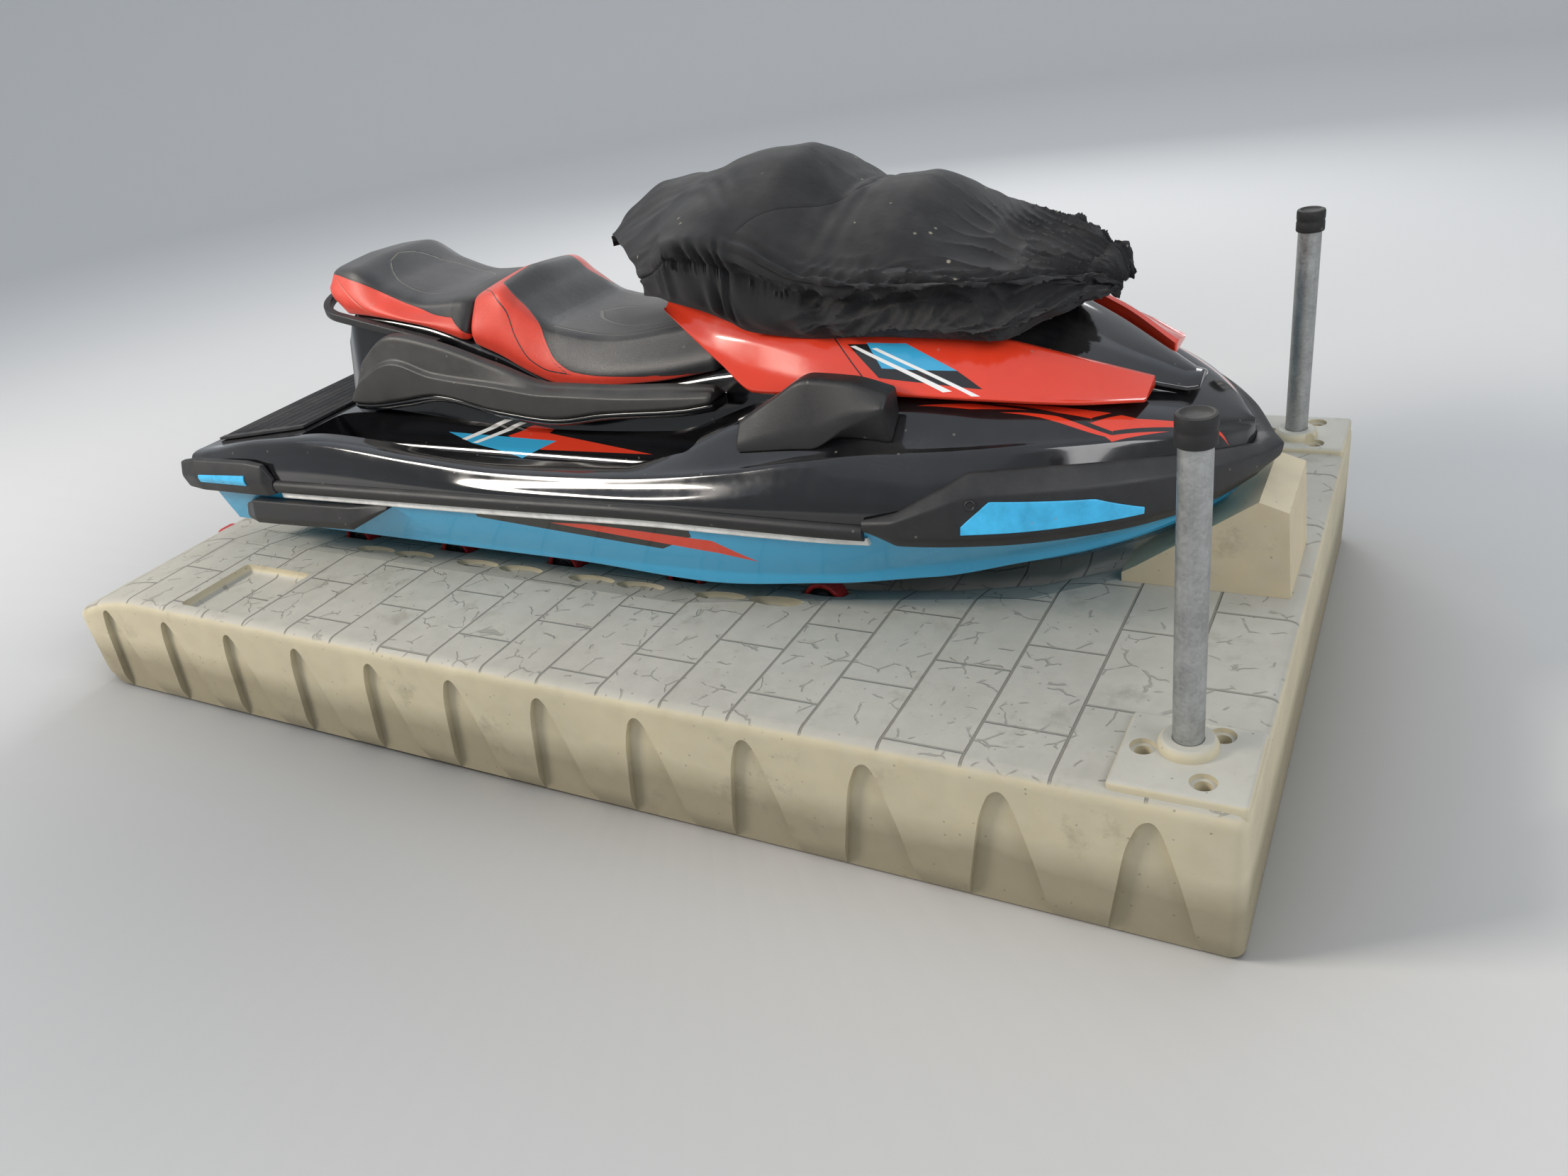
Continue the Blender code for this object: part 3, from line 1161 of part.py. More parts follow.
def make_float(maker):
    rings = []
    half_x, half_y = FLOAT_LENGTH / 2, FLOAT_WIDTH / 2
    for x in (*(-half_x + at for at in (0, 0.04, 0.12, 0.24, RAMP_LENGTH)), 0.0, half_x - 0.03, half_x):
        end = min(1.0, (x + half_x) / 0.12)
        inset = 0.04 * (1 - sin(end * pi / 2)) + (0.03 if x == half_x else 0)
        top = float_top(x) - (0.02 if x == half_x else 0)
        y = half_y - inset
        low_y = y - 0.02
        half = [(0, 0), (low_y, 0), (y, 0.06), (y, top - FLOAT_EDGE),
                (y - 0.3 * FLOAT_EDGE, top - 0.3 * FLOAT_EDGE), (y - FLOAT_EDGE, top), (0, top)]
        rings.append([(x, a, b) for a, b in both_sides(half)])
    body = maker.add("port_float", loft("port_float", rings), "float_grey")
    trough = []
    for x, deck_y, shoulder_y, shoulder_z, floor_y, floor_z in CHANNEL_ROWS:
        half = [(0, floor_z), (floor_y, floor_z), (shoulder_y, shoulder_z), (deck_y, FLOAT_HEIGHT),
                (deck_y, FLOAT_HEIGHT + 0.1), (0, FLOAT_HEIGHT + 0.1)]
        trough.append([(x, y, z) for y, z in both_sides(half)])
    maker.cut(body, maker.cutter("cradle", loft("cradle", trough)))
    arches = []
    for _, sign in SIDES:
        near, far = sign * (FLOAT_WIDTH / 2 - ARCH_DEPTH), sign * (FLOAT_WIDTH / 2 + 0.05)
        for k in range(ARCH_COUNT):
            foot = ARCH_START + k * ARCH_STEP
            arches.append([[(foot + x, y, z) for x, z in ARCH_OUTLINE] for y in (near, far)])
    maker.cut(body, maker.cutter("arches", lofts("arches", arches)))
    ovals = []
    for _, sign in SIDES:
        for k in range(ROLLER_ROW - 1):
            for back in POCKET_SPOTS:
                x = ROLLER_FRONT_X - k * ROLLER_PITCH - back
                ovals.append(oval_rings((x, sign * POCKET_Y), POCKET_SIZE))
    maker.cut(body, maker.cutter("side_pockets", lofts("side_pockets", ovals)))
    pockets, axles = [], []
    for _, place in roller_places():
        reach = ROLLER_RADIUS + 0.012
        low = place - Vector((reach, ROLLER_WIDTH / 2 + 0.006, reach))
        pockets.append((low, place + Vector((reach, ROLLER_WIDTH / 2 + 0.006, 0.2))))
        axles.append((place - Vector((0, ROLLER_WIDTH / 2 + 0.016, 0)), ROLLER_WIDTH + 0.032))
    maker.cut(body, maker.cutter("roller_pockets", blocks("roller_pockets", pockets)))
    maker.join(body, maker.cutter("axles", rods("axles", AXLE_RADIUS, axles, "Y", 12)))
    wells, seats = [], []
    for _, sign in SIDES:
        low = (WELL_REAR, sign * WELL_Y - WELL_WIDTH / 2, FLOAT_HEIGHT - WELL_DEPTH)
        high = (WELL_REAR + WELL_LENGTH, sign * WELL_Y + WELL_WIDTH / 2, FLOAT_HEIGHT + 0.1)
        wells.append((low, high))
        low_y, high_y = sorted((sign * PAD_INNER, sign * PAD_OUTER))
        seats.append(((PAD_REAR, low_y, FLOAT_HEIGHT - PAD_SEAT), (PAD_FRONT, high_y, FLOAT_HEIGHT + 0.1)))
    maker.cut(body, maker.cutter("corner_wells", blocks("corner_wells", wells)))
    maker.cut(body, maker.cutter("pad_seats", blocks("pad_seats", seats)))
    bores = [((PILE_X, sign * PILE_Y, -0.1), 0.6) for _, sign in SIDES]
    maker.cut(body, maker.cutter("pile_bores", rods("pile_bores", PILE_RADIUS + 0.003, bores, "Z", 20)))
    for side, sign in SIDES:
        ends, bunk_ys = KEEL_BUNK
        low_y, high_y = sorted(sign * y for y in bunk_ys)
        rings = []
        for x in ends:
            ring = [(x, low_y, BUNK_FOOT), (x, high_y, BUNK_FOOT)]
            ring += [(x, y, KEEL_Z + abs(y) * tan(DEADRISE) - GAP) for y in (high_y, low_y)]
            rings.append(ring)
        maker.join(body, maker.cutter("keel_bunk_" + side, loft("keel_bunk_" + side, rings)))


def make_rollers(maker):
    for name, place in roller_places():
        half = ROLLER_WIDTH / 2
        bore = AXLE_RADIUS + AXLE_PLAY
        profile = [
            (bore, half), (bore, -half), (0.020, -half), (0.022, -half + 0.012), (0.040, -half + 0.012),
            (0.043, -half), (ROLLER_RADIUS - 0.004, -half), (ROLLER_RADIUS, -half + 0.006),
            (ROLLER_RADIUS, half - 0.006), (ROLLER_RADIUS - 0.004, half), (0.043, half),
            (0.040, half - 0.012), (0.022, half - 0.012), (0.020, half),
        ]
        mesh = turned(name, profile, 24)
        mesh.transform(Matrix.Rotation(-pi / 2, 4, "X"))
        roller = maker.add(name, mesh, "roller_red")
        roller.location = place


def make_piles(maker):
    for side, sign in SIDES:
        centre = Vector((PILE_X, sign * PILE_Y, 0))
        low_y, high_y = sorted((sign * PAD_INNER, sign * PAD_OUTER))
        low = (PAD_REAR + GAP, low_y + GAP, FLOAT_HEIGHT - PAD_SEAT + GAP)
        high = (PAD_FRONT - GAP, high_y - GAP, FLOAT_HEIGHT + PAD_RISE)
        top = PILE_TOPS[side]
        pad = maker.add("pile_pad_" + side, block("pile_pad_" + side, low, high), "float_grey")
        bevel(pad, 0.012, 3)
        foot = centre + Vector((0, 0, FLOAT_HEIGHT - 0.01))
        collar = rods("collar_" + side, PILE_RADIUS + 0.024, [(foot, 0.05)], "Z", 24)
        maker.join(pad, maker.cutter("collar_" + side, collar))
        hole = rods("pad_bore_" + side, PILE_RADIUS + GAP, [(centre, 0.6)], "Z", 24)
        maker.cut(pad, maker.cutter("pad_bore_" + side, hole))
        fixings = [(centre + Vector((dx, sign * dy, 0.3)), 0.2) for dx, dy in PAD_HOLES]
        maker.cut(pad, maker.cutter("fixings_" + side, rods("fixings_" + side, 0.018, fixings, "Z", 16)))
        pile = rods("pile_" + side, PILE_RADIUS, [(centre, top)], "Z", 24)
        maker.add("pile_" + side, pile, "galvanized")
        profile = [
            (0.0, top + GAP), (0.0, top + 0.012), (PILE_RADIUS + 0.002, top + 0.012),
            (PILE_RADIUS + 0.006, top + 0.006), (PILE_RADIUS + 0.006, top - 0.045),
            (PILE_RADIUS + GAP, top - 0.045), (PILE_RADIUS + GAP, top + GAP),
        ]
        cap = cup("pile_cap_" + side, profile, 24)
        cap.transform(Matrix.Translation((centre.x, centre.y, 0)))
        maker.add("pile_cap_" + side, cap, "cap_rubber")


def cup(name, profile, sides):
    """A cup turned about Z: the first two points of its profile lie on the axis."""

    def build(form):
        bottom, top = form.verts.new((0, 0, profile[0][1])), form.verts.new((0, 0, profile[1][1]))
        rows = []
        for k in range(sides):
            angle = 2 * pi * k / sides
            rows.append([form.verts.new((r * cos(angle), r * sin(angle), z)) for r, z in profile[2:]])
        for k in range(sides):
            first, second = rows[k], rows[(k + 1) % sides]
            form.faces.new((top, first[0], second[0]))
            form.faces.new((bottom, second[-1], first[-1]))
            for a, b, c, d in zip(first, first[1:], second[1:], second):
                form.faces.new((a, b, c, d))

    return mesh_from(name, build)


def make_bow_stop(maker):
    foot = FLOAT_HEIGHT + GAP
    outline = [(1.428, foot), (1.815, foot), (1.80, 0.600), (1.735, 0.622), (1.46, 0.425), (1.428, 0.405)]
    rings = [[(x, y, z) for x, z in outline] for y in (-STOP_HALF, STOP_HALF)]
    stop = maker.add("bow_stop", loft("bow_stop", rings), "stop_cream")
    groove = []
    for x in carrier_stations(1.38, BOW_X, SHELL):
        keel = hull_at(x)[0, 1] - GAP
        half = [(0, keel), (0.30, keel + 0.30 * GROOVE_SLOPE), (0.30, keel + 0.4), (0, keel + 0.4)]
        groove.append([(x, y, z) for y, z in both_sides(half)])
    groove.append([(x + 0.2, y, z + 0.1) for x, y, z in groove[-1]])
    maker.cut(stop, maker.cutter("bow_groove", loft("bow_groove", groove)))


def main():
    clear_scene()
    maker = Maker()
    make_hull(maker)
    make_deck(maker)
    make_stern_mat(maker)
    make_rails(maker)
    make_bumper(maker)
    make_inserts(maker)
    make_stern_caps(maker)
    make_sponsons(maker)
    make_side_covers(maker)
    make_seats(maker)
    make_grab_rail(maker)
    make_fairings(maker)
    make_guards(maker)
    make_hood(maker)
    make_steering(maker)
    make_mirrors(maker)
    make_jet(maker)
    make_nozzle(maker)
    make_cover(maker)
    make_float(maker)
    make_rollers(maker)
    make_piles(maker)
    make_bow_stop(maker)


main()
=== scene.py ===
"""Looks of a three-seat personal watercraft parked on a floating drive-on port.

Metres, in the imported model's frame: +X to the bow, +Y to the craft's left side, +Z up. A fine surface stands
for each moulded part. It is read from the same short tables as the part's own sections, at closer stations.
"""

import json
from math import cos, pi, radians, sin, tan

import bmesh
import bpy
import numpy as np
from mathutils import Matrix, Vector


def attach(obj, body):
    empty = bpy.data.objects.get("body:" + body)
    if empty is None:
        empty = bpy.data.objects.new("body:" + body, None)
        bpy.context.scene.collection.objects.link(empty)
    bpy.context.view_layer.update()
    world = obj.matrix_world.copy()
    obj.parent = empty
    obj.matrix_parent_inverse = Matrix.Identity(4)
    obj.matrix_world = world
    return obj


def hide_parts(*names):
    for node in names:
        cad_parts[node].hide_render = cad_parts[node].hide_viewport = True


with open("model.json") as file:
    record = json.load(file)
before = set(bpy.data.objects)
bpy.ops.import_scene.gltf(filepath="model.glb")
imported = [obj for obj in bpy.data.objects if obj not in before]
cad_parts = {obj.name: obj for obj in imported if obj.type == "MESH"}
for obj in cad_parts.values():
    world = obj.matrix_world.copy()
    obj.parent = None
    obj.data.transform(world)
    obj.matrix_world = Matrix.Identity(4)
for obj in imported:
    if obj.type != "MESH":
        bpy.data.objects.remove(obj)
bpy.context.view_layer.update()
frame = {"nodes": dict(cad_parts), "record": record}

ROOT = "craft_on_port"
SIDES = (("left", 1), ("right", -1))
BODY_OF = {node: body for body, nodes in frame["record"]["behaviour"]["bodies"].items() for node in nodes}
STEP = 0.012
CUT, JOIN = "DIFFERENCE", "UNION"

# Sections of the part, as its own tables give them
DEADRISE = radians(23)
TRANSOM_X, STERN_X, BOW_X, BUMPER_REAR, CAP_FRONT = -1.42, -1.53, 1.70, 0.955, -1.05
SPINE_FOOT, SPINE_EDGE = 0.705, 0.012
KEEL_Z = 0.270
RIB_PITCH, RIB_DEPTH = 0.014, 0.0032

# Hull: station x, keel height, chine half width, chine lift, rail half width, rail height, chine face
HULL_ROWS = (
    (-1.42, 0.270, 0.495, 0.000, 0.548, 0.632, 0.020),
    (-0.90, 0.270, 0.500, 0.000, 0.575, 0.657, 0.020),
    (0.00, 0.270, 0.505, 0.004, 0.588, 0.687, 0.022),
    (0.45, 0.270, 0.500, 0.008, 0.588, 0.699, 0.040),
    (0.80, 0.284, 0.478, 0.021, 0.578, 0.694, 0.030),
    (1.05, 0.310, 0.425, 0.045, 0.548, 0.686, 0.038),
    (1.25, 0.350, 0.350, 0.047, 0.490, 0.680, 0.025),
    (1.42, 0.412, 0.250, 0.038, 0.400, 0.677, 0.022),
    (1.55, 0.480, 0.155, 0.030, 0.292, 0.675, 0.016),
    (1.64, 0.550, 0.080, 0.020, 0.175, 0.676, 0.010),
    (1.70, 0.640, 0.020, 0.008, 0.050, 0.679, 0.004),
)

# Deck tray: station x, how far the gunwale leans in, its height, inner half width and height, middle height
DECK_ROWS = (
    (-1.53, 0.046, 0.692, 0.42, 0.690, 0.694),
    (-1.42, 0.033, 0.712, 0.44, 0.705, 0.708),
    (-1.15, 0.030, 0.765, 0.46, 0.745, 0.745),
    (-0.85, 0.031, 0.790, 0.47, 0.785, 0.785),
    (-0.45, 0.029, 0.766, 0.48, 0.762, 0.765),
    (-0.15, 0.031, 0.752, 0.48, 0.750, 0.755),
    (0.25, 0.036, 0.764, 0.48, 0.765, 0.770),
    (0.60, 0.046, 0.800, 0.42, 0.880, 0.868),
    (0.80, 0.053, 0.832, 0.40, 0.915, 0.900),
    (1.00, 0.062, 0.850, 0.38, 0.925, 0.915),
    (1.25, 0.065, 0.850, 0.34, 0.902, 0.905),
    (1.42, 0.060, 0.838, 0.26, 0.872, 0.878),
    (1.55, 0.052, 0.815, 0.17, 0.832, 0.842),
    (1.64, 0.046, 0.785, 0.09, 0.796, 0.802),
    (1.70, 0.040, 0.750, 0.004, 0.760, 0.765),
)

# Spine under the seats and the hood: station x, half width at its foot and its top, height of its top
SPINE_ROWS = (
    (-0.99, 0.250, 0.175, 0.990),
    (-0.90, 0.280, 0.200, 1.070),
    (-0.62, 0.288, 0.215, 1.045),
    (-0.35, 0.290, 0.220, 0.965),
    (-0.08, 0.290, 0.225, 0.872),
    (0.20, 0.290, 0.230, 0.892),
    (0.45, 0.290, 0.235, 0.932),
    (0.70, 0.290, 0.240, 0.960),
    (0.78, 0.286, 0.240, 1.060),
    (0.95, 0.276, 0.238, 1.055),
    (1.15, 0.252, 0.222, 1.015),
    (1.32, 0.205, 0.175, 0.950),
    (1.46, 0.140, 0.112, 0.890),
    (1.56, 0.080, 0.050, 0.848),
)

# Fairing: station x, then half width and height of its top edge, its knee and its lower edge
FAIRING_ROWS = (
    (0.33, 0.262, 1.130, 0.275, 1.118, 0.298, 1.105),
    (0.50, 0.262, 1.130, 0.318, 1.055, 0.345, 0.985),
    (0.60, 0.262, 1.127, 0.332, 1.042, 0.372, 0.925),
    (0.90, 0.268, 1.100, 0.362, 1.000, 0.400, 0.942),
    (1.15, 0.258, 1.045, 0.345, 0.970, 0.385, 0.932),
    (1.35, 0.205, 0.975, 0.280, 0.932, 0.325, 0.906),
    (1.50, 0.125, 0.905, 0.180, 0.892, 0.222, 0.878),
)

# Side cover: station x, top edge height, lower edge height, outer half width, height of its embossed line
SIDE_COVER_ROWS = (
    (-0.88, 0.860, 0.825, 0.335, 0.842),
    (-0.80, 0.960, 0.828, 0.345, 0.905),
    (-0.64, 1.040, 0.850, 0.352, 0.962),
    (-0.50, 1.020, 0.870, 0.352, 0.926),
    (-0.27, 0.955, 0.830, 0.350, 0.902),
    (-0.09, 0.905, 0.815, 0.350, 0.884),
    (0.10, 0.905, 0.840, 0.350, 0.884),
    (0.35, 0.915, 0.862, 0.348, 0.893),
    (0.45, 0.915, 0.880, 0.345, 0.900),
)

# Seats: station x, half width at the foot and the shoulder, height of the foot, the shoulder and the middle
FRONT_SEAT_ROWS = (
    (-0.42, 0.225, 0.170, 0.960, 1.110, 1.125),
    (-0.31, 0.232, 0.185, 0.940, 1.135, 1.155),
    (-0.25, 0.238, 0.190, 0.920, 1.090, 1.095),
    (-0.14, 0.242, 0.190, 0.880, 1.025, 1.020),
    (0.05, 0.245, 0.185, 0.870, 1.000, 1.005),
    (0.25, 0.240, 0.170, 0.885, 1.020, 1.035),
    (0.42, 0.225, 0.150, 0.915, 1.050, 1.065),
)
REAR_SEAT_ROWS = (
    (-1.04, 0.140, 0.110, 1.124, 1.170, 1.180),
    (-0.96, 0.200, 0.160, 1.104, 1.197, 1.207),
    (-0.88, 0.220, 0.175, 1.060, 1.200, 1.210),
    (-0.76, 0.230, 0.180, 1.050, 1.140, 1.145),
    (-0.60, 0.235, 0.180, 1.035, 1.100, 1.110),
    (-0.47, 0.232, 0.172, 1.000, 1.105, 1.115),
    (-0.43, 0.228, 0.160, 0.995, 1.100, 1.110),
)

# Footwell guard: station x, how far its outer edge stands off the deck, height of its top
GUARD_ROWS = (
    (0.60, 0.000, 0.890),
    (0.70, 0.000, 0.950),
    (0.80, 0.000, 1.002),
    (0.90, 0.055, 0.998),
    (1.00, 0.100, 0.975),
)
GUARD_INNER, GUARD_OUTER = 0.405, 0.492

# Cloth cover: station x, how far it runs back for each metre across, height of its top, half width and height
# of its fold, of its gathered elastic and of its hem
COVER_ROWS = (
    (0.02, 0.90, 1.195, 0.235, 1.180, 0.250, 1.165, 0.255, 1.135),
    (0.10, 0.76, 1.243, 0.325, 1.243, 0.315, 1.195, 0.296, 1.142),
    (0.18, 0.62, 1.292, 0.405, 1.300, 0.360, 1.215, 0.330, 1.140),
    (0.30, 0.45, 1.355, 0.418, 1.308, 0.375, 1.205, 0.345, 1.130),
    (0.48, 0.20, 1.418, 0.412, 1.300, 0.380, 1.190, 0.345, 1.098),
    (0.62, 0.00, 1.428, 0.405, 1.272, 0.375, 1.158, 0.338, 1.068),
    (0.78, 0.00, 1.340, 0.400, 1.202, 0.368, 1.108, 0.325, 1.052),
    (0.94, 0.00, 1.348, 0.388, 1.186, 0.362, 1.102, 0.304, 1.050),
    (1.10, 0.00, 1.252, 0.345, 1.183, 0.345, 1.090, 0.300, 1.046),
    (1.20, 0.00, 1.205, 0.300, 1.177, 0.320, 1.075, 0.290, 1.040),
    (1.29, 0.00, 1.180, 0.225, 1.165, 0.255, 1.092, 0.215, 1.066),
    (1.35, 0.00, 1.150, 0.150, 1.135, 0.185, 1.100, 0.150, 1.078),
)

# Float of the port
FLOAT_LENGTH, FLOAT_WIDTH, FLOAT_HEIGHT, FLOAT_EDGE = 3.70, 1.88, 0.38, 0.035
RAMP_LENGTH, RAMP_DROP, FRONT_ROUND = 0.42, 0.11, 0.03

# Its channel: station x, half width at the deck, at the shoulder and its height, at the floor and its height
CHANNEL_ROWS = (
    (-1.95, 0.517, 0.300, 0.338, 0.130, 0.205),
    (0.35, 0.517, 0.300, 0.338, 0.130, 0.205),
    (0.80, 0.394, 0.270, 0.343, 0.120, 0.210),
    (1.02, 0.340, 0.220, 0.345, 0.100, 0.225),
    (1.23, 0.286, 0.150, 0.350, 0.060, 0.270),
    (1.38, 0.175, 0.080, 0.366, 0.030, 0.345),
    (1.42, 0.140, 0.060, 0.372, 0.020, 0.362),
)

# Arches along its sides: count, first foot, step and depth, then the outline (x, z) from a foot
ARCH_COUNT, ARCH_START, ARCH_STEP, ARCH_DEPTH = 12, -1.654, 0.2985, 0.018
ARCH_OUTLINE = (
    (-0.045, -0.01), (-0.004, 0.250), (0.022, 0.318), (0.048, 0.333), (0.068, 0.305), (0.108, 0.170),
    (0.150, -0.01),
)
WELL_REAR, WELL_LENGTH, WELL_Y, WELL_WIDTH, WELL_DEPTH = -1.25, 0.30, 0.77, 0.26, 0.028
ROLLER_RADIUS, ROLLER_WIDTH, ROLLER_Y, RIM_RADIUS = 0.056, 0.052, 0.33, 0.0425
ROLLER_XS = (*[0.695 - 0.437 * k for k in range(5)], -1.775)
PILE_X, PILE_Y, PILE_RADIUS = 1.71, 0.775, 0.0302
PILE_TOPS = {"left": 1.035, "right": 1.080}
PAD_REAR, PAD_FRONT, PAD_INNER, PAD_OUTER = 1.585, 1.846, 0.683, 0.925

# Turned profiles: a drain mark as shares of its half length and heights, and a pile's cap as radii and heights
# above the pile's top
DRAIN_PROFILE = ((0.0, 0.345), (0.94, 0.345), (1.0, 0.352), (1.0, 0.376), (1.06, 0.3805), (1.06, 0.5), (0.0, 0.5))
CAP_PROFILE = (
    (0.0, 0.007), (0.020, 0.007), (0.0245, 0.0085), (0.0275, 0.0115), (0.030, 0.012), (0.0345, 0.010),
    (0.0362, 0.006), (0.0362, -0.012), (0.0352, -0.014), (0.0352, -0.020), (0.0362, -0.022), (0.0362, -0.043),
    (0.0350, -0.045), (PILE_RADIUS + 0.0004, -0.045), (PILE_RADIUS + 0.0004, 0),
)


# Shapes: tables, sections and grids


def read(rows, xs):
    """Columns of a table at stations xs, by a monotone cubic through its rows."""
    table = np.array(rows, float)
    at, values = table[:, 0], table[:, 1:]
    steps = np.diff(at)[:, None]
    slopes = np.diff(values, axis=0) / steps
    same_way = slopes[:-1] * slopes[1:] > 0
    total = np.where(same_way, slopes[:-1] + slopes[1:], 1)
    inner = np.where(same_way, 2 * slopes[:-1] * slopes[1:] / total, 0)
    ends = np.vstack([slopes[:1], inner, slopes[-1:]])
    xs = np.clip(np.atleast_1d(xs), at[0], at[-1])
    i = np.clip(np.searchsorted(at, xs) - 1, 0, len(at) - 2)
    h = steps[i]
    t = (xs - at[i])[:, None] / h
    return (
        (1 + 2 * t) * (1 - t) ** 2 * values[i]
        + t * (1 - t) ** 2 * h * ends[i]
        + t * t * (3 - 2 * t) * values[i + 1]
        + t * t * (t - 1) * h * ends[i + 1]
    )


def along(low, high, step=STEP):
    """Evenly spaced stations from low to high, about step apart."""
    return np.linspace(low, high, max(2, round((high - low) / step) + 1))


def section(*pairs):
    """Control points (stations, k, 2) from k pairs of y and z, each a number or one value a station."""
    flat = np.broadcast_arrays(*[np.asarray(value, float) for pair in pairs for value in pair])
    return np.stack(flat, -1).reshape(-1, len(pairs), 2)


def rounded(points, radii, steps=4):
    """Sections with corner k cut by a quadratic curve that starts and ends radii[k] from it, or left sharp at 0.

    The curve is a(1-t)^2 + 2b t(1-t) + c t^2, where b is the corner and a and c lie on its two sides.
    """
    before, after = np.roll(points, 1, 1) - points, np.roll(points, -1, 1) - points
    reach = [np.maximum(np.linalg.norm(side, axis=-1, keepdims=True), 1e-9) for side in (before, after)]
    t = np.linspace(0, 1, steps + 1)[None, :, None]
    columns = []
    for k, radius in enumerate(radii):
        here = points[:, k : k + 1]
        if radius:
            a, c = (
                here + side[:, k : k + 1] * np.minimum(radius / length[:, k : k + 1], 0.45)
                for side, length in zip((before, after), reach)
            )
            here = (1 - t) ** 2 * a + 2 * t * (1 - t) * here + t * t * c
        columns.append(here)
    return np.concatenate(columns, 1)


def mirrored(half):
    """Whole ring from a half section that starts and ends on the middle plane."""
    return np.concatenate([half, half[:, -2:0:-1] * (-1, 1)], 1)


def lofted(xs, sections, side=1):
    """Grid of points from stations and their (y, z) sections, on one side of the craft."""
    xs = np.broadcast_to(xs[:, None, None], sections.shape[:2] + (1,))
    return np.concatenate([xs, sections * (side, 1)], 2)


def smooth_step(low, high, value):
    """0 below low, 1 above high, and t t (3 - 2t) between them."""
    t = np.clip((value - low) / (high - low), 0, 1)
    return t * t * (3 - 2 * t)


def hump(centre, width, value):
    """A bell curve exp(-((value - centre) / width)^2)."""
    return np.exp(-(((value - centre) / width) ** 2))


def put(name, mesh, finish, body=ROOT, nodes=(), smooth=32):
    """Links a mesh as a piece that rides on a body and stands for CAD nodes. Sharp edges bend by over smooth."""
    finish = PAINT[finish]
    mesh.shade_smooth()
    mesh.set_sharp_from_angle(angle=radians(smooth))
    mesh.materials.clear()
    mesh.materials.append(finish)
    made = bpy.data.objects.new(name, mesh)
    bpy.context.scene.collection.objects.link(made)
    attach(made, body)
    if nodes:
        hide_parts(*nodes)
    return made


def surface(name, grid, around=False, ends=False, turned_over=None):
    """Mesh over a grid of points. around joins its last column to its first, and ends closes its end rows.

    A closed surface gets its normals worked out; an open one faces up unless turned_over is set.
    """
    rows, count = grid.shape[:2]
    index = np.arange(rows * count).reshape(rows, count)
    wide = np.concatenate([index, index[:, :1]], 1) if around else index
    quads = np.stack([wide[:-1, :-1], wide[:-1, 1:], wide[1:, 1:], wide[1:, :-1]], -1).reshape(-1, 4)
    if turned_over:
        quads = quads[:, ::-1]
    faces = quads.tolist()
    if ends:
        faces += [index[0].tolist(), index[-1].tolist()]
    mesh = bpy.data.meshes.new(name)
    mesh.from_pydata(grid.reshape(-1, 3).tolist(), [], faces)
    return welded(mesh) if turned_over is None else mesh


def skin(xs, ring, side=1):
    """Closed surface through the rings at stations xs, on one side of the craft."""
    return surface("skin", lofted(xs, ring, side), around=True, ends=True)


def put_pair(name, xs, ring, finish, node=None):
    """The same skin on both sides, each of which stands for its own CAD node if there is one."""
    for side_name, side in SIDES:
        nodes = [f"{node}_{side_name}"] if node else ()
        put(f"{name}_{side_name}", skin(xs, ring, side), finish, nodes=nodes)


def welded(mesh):
    """The mesh with its doubles merged and its faces turned outwards."""
    form = bmesh.new()
    form.from_mesh(mesh)
    bmesh.ops.remove_doubles(form, verts=form.verts, dist=1e-6)
    bmesh.ops.recalc_face_normals(form, faces=form.faces[:])
    form.to_mesh(mesh)
    form.free()
    return mesh


def block(low, high, radius, segments=3, side=1):
    """A box between two corners with rounded edges, on the left side or mirrored to the right."""
    low_y, high_y = sorted((side * low[1], side * high[1]))
    low, high = Vector((low[0], low_y, low[2])), Vector((high[0], high_y, high[2]))
    form = bmesh.new()
    bmesh.ops.create_cube(form, size=1)
    bmesh.ops.scale(form, vec=high - low, verts=form.verts)
    bmesh.ops.translate(form, vec=low + (high - low) / 2, verts=form.verts)
    bmesh.ops.bevel(
        form, geom=form.edges[:], offset=radius, segments=segments, profile=0.5, affect="EDGES", clamp_overlap=True
    )
    mesh = bpy.data.meshes.new("block")
    form.to_mesh(mesh)
    form.free()
    return mesh


def turned(profile, sides=64):
    """A ring turned about Z: x = r cos a, y = r sin a, z = z, for (r, z) points that close on themselves."""
    angle = np.linspace(0, 2 * pi, sides, endpoint=False)[:, None]
    radius, height = np.array(profile, float).T
    grid = np.stack([radius * np.cos(angle), radius * np.sin(angle), height + 0 * angle], -1)
    grid = np.concatenate([grid, grid[:1]])
    return surface("turned", grid, around=True)


def moved(mesh, *steps):
    """The mesh after each transform in turn."""
    for step in steps:
        mesh.transform(step)
    return mesh


def gathered(meshes):
    """One mesh that holds several."""
    form = bmesh.new()
    for mesh in meshes:
        form.from_mesh(mesh)
    made = bpy.data.meshes.new("gathered")
    form.to_mesh(made)
    form.free()
    return made


def carved(mesh, *tools):
    """The mesh after exact Booleans with (operation, tool mesh) in turn."""
    made = bpy.data.objects.new("carving", mesh)
    bpy.context.scene.collection.objects.link(made)
    helpers = []
    for operation, tool in tools:
        helper = bpy.data.objects.new("tool", tool)
        bpy.context.scene.collection.objects.link(helper)
        helpers.append(helper)
        step = made.modifiers.new("carve", "BOOLEAN")
        step.operation = operation
        step.object = helper
    graph = bpy.context.evaluated_depsgraph_get()
    result = bpy.data.meshes.new_from_object(made.evaluated_get(graph))
    for helper in (made, *helpers):
        bpy.data.objects.remove(helper, do_unlink=True)
    return result


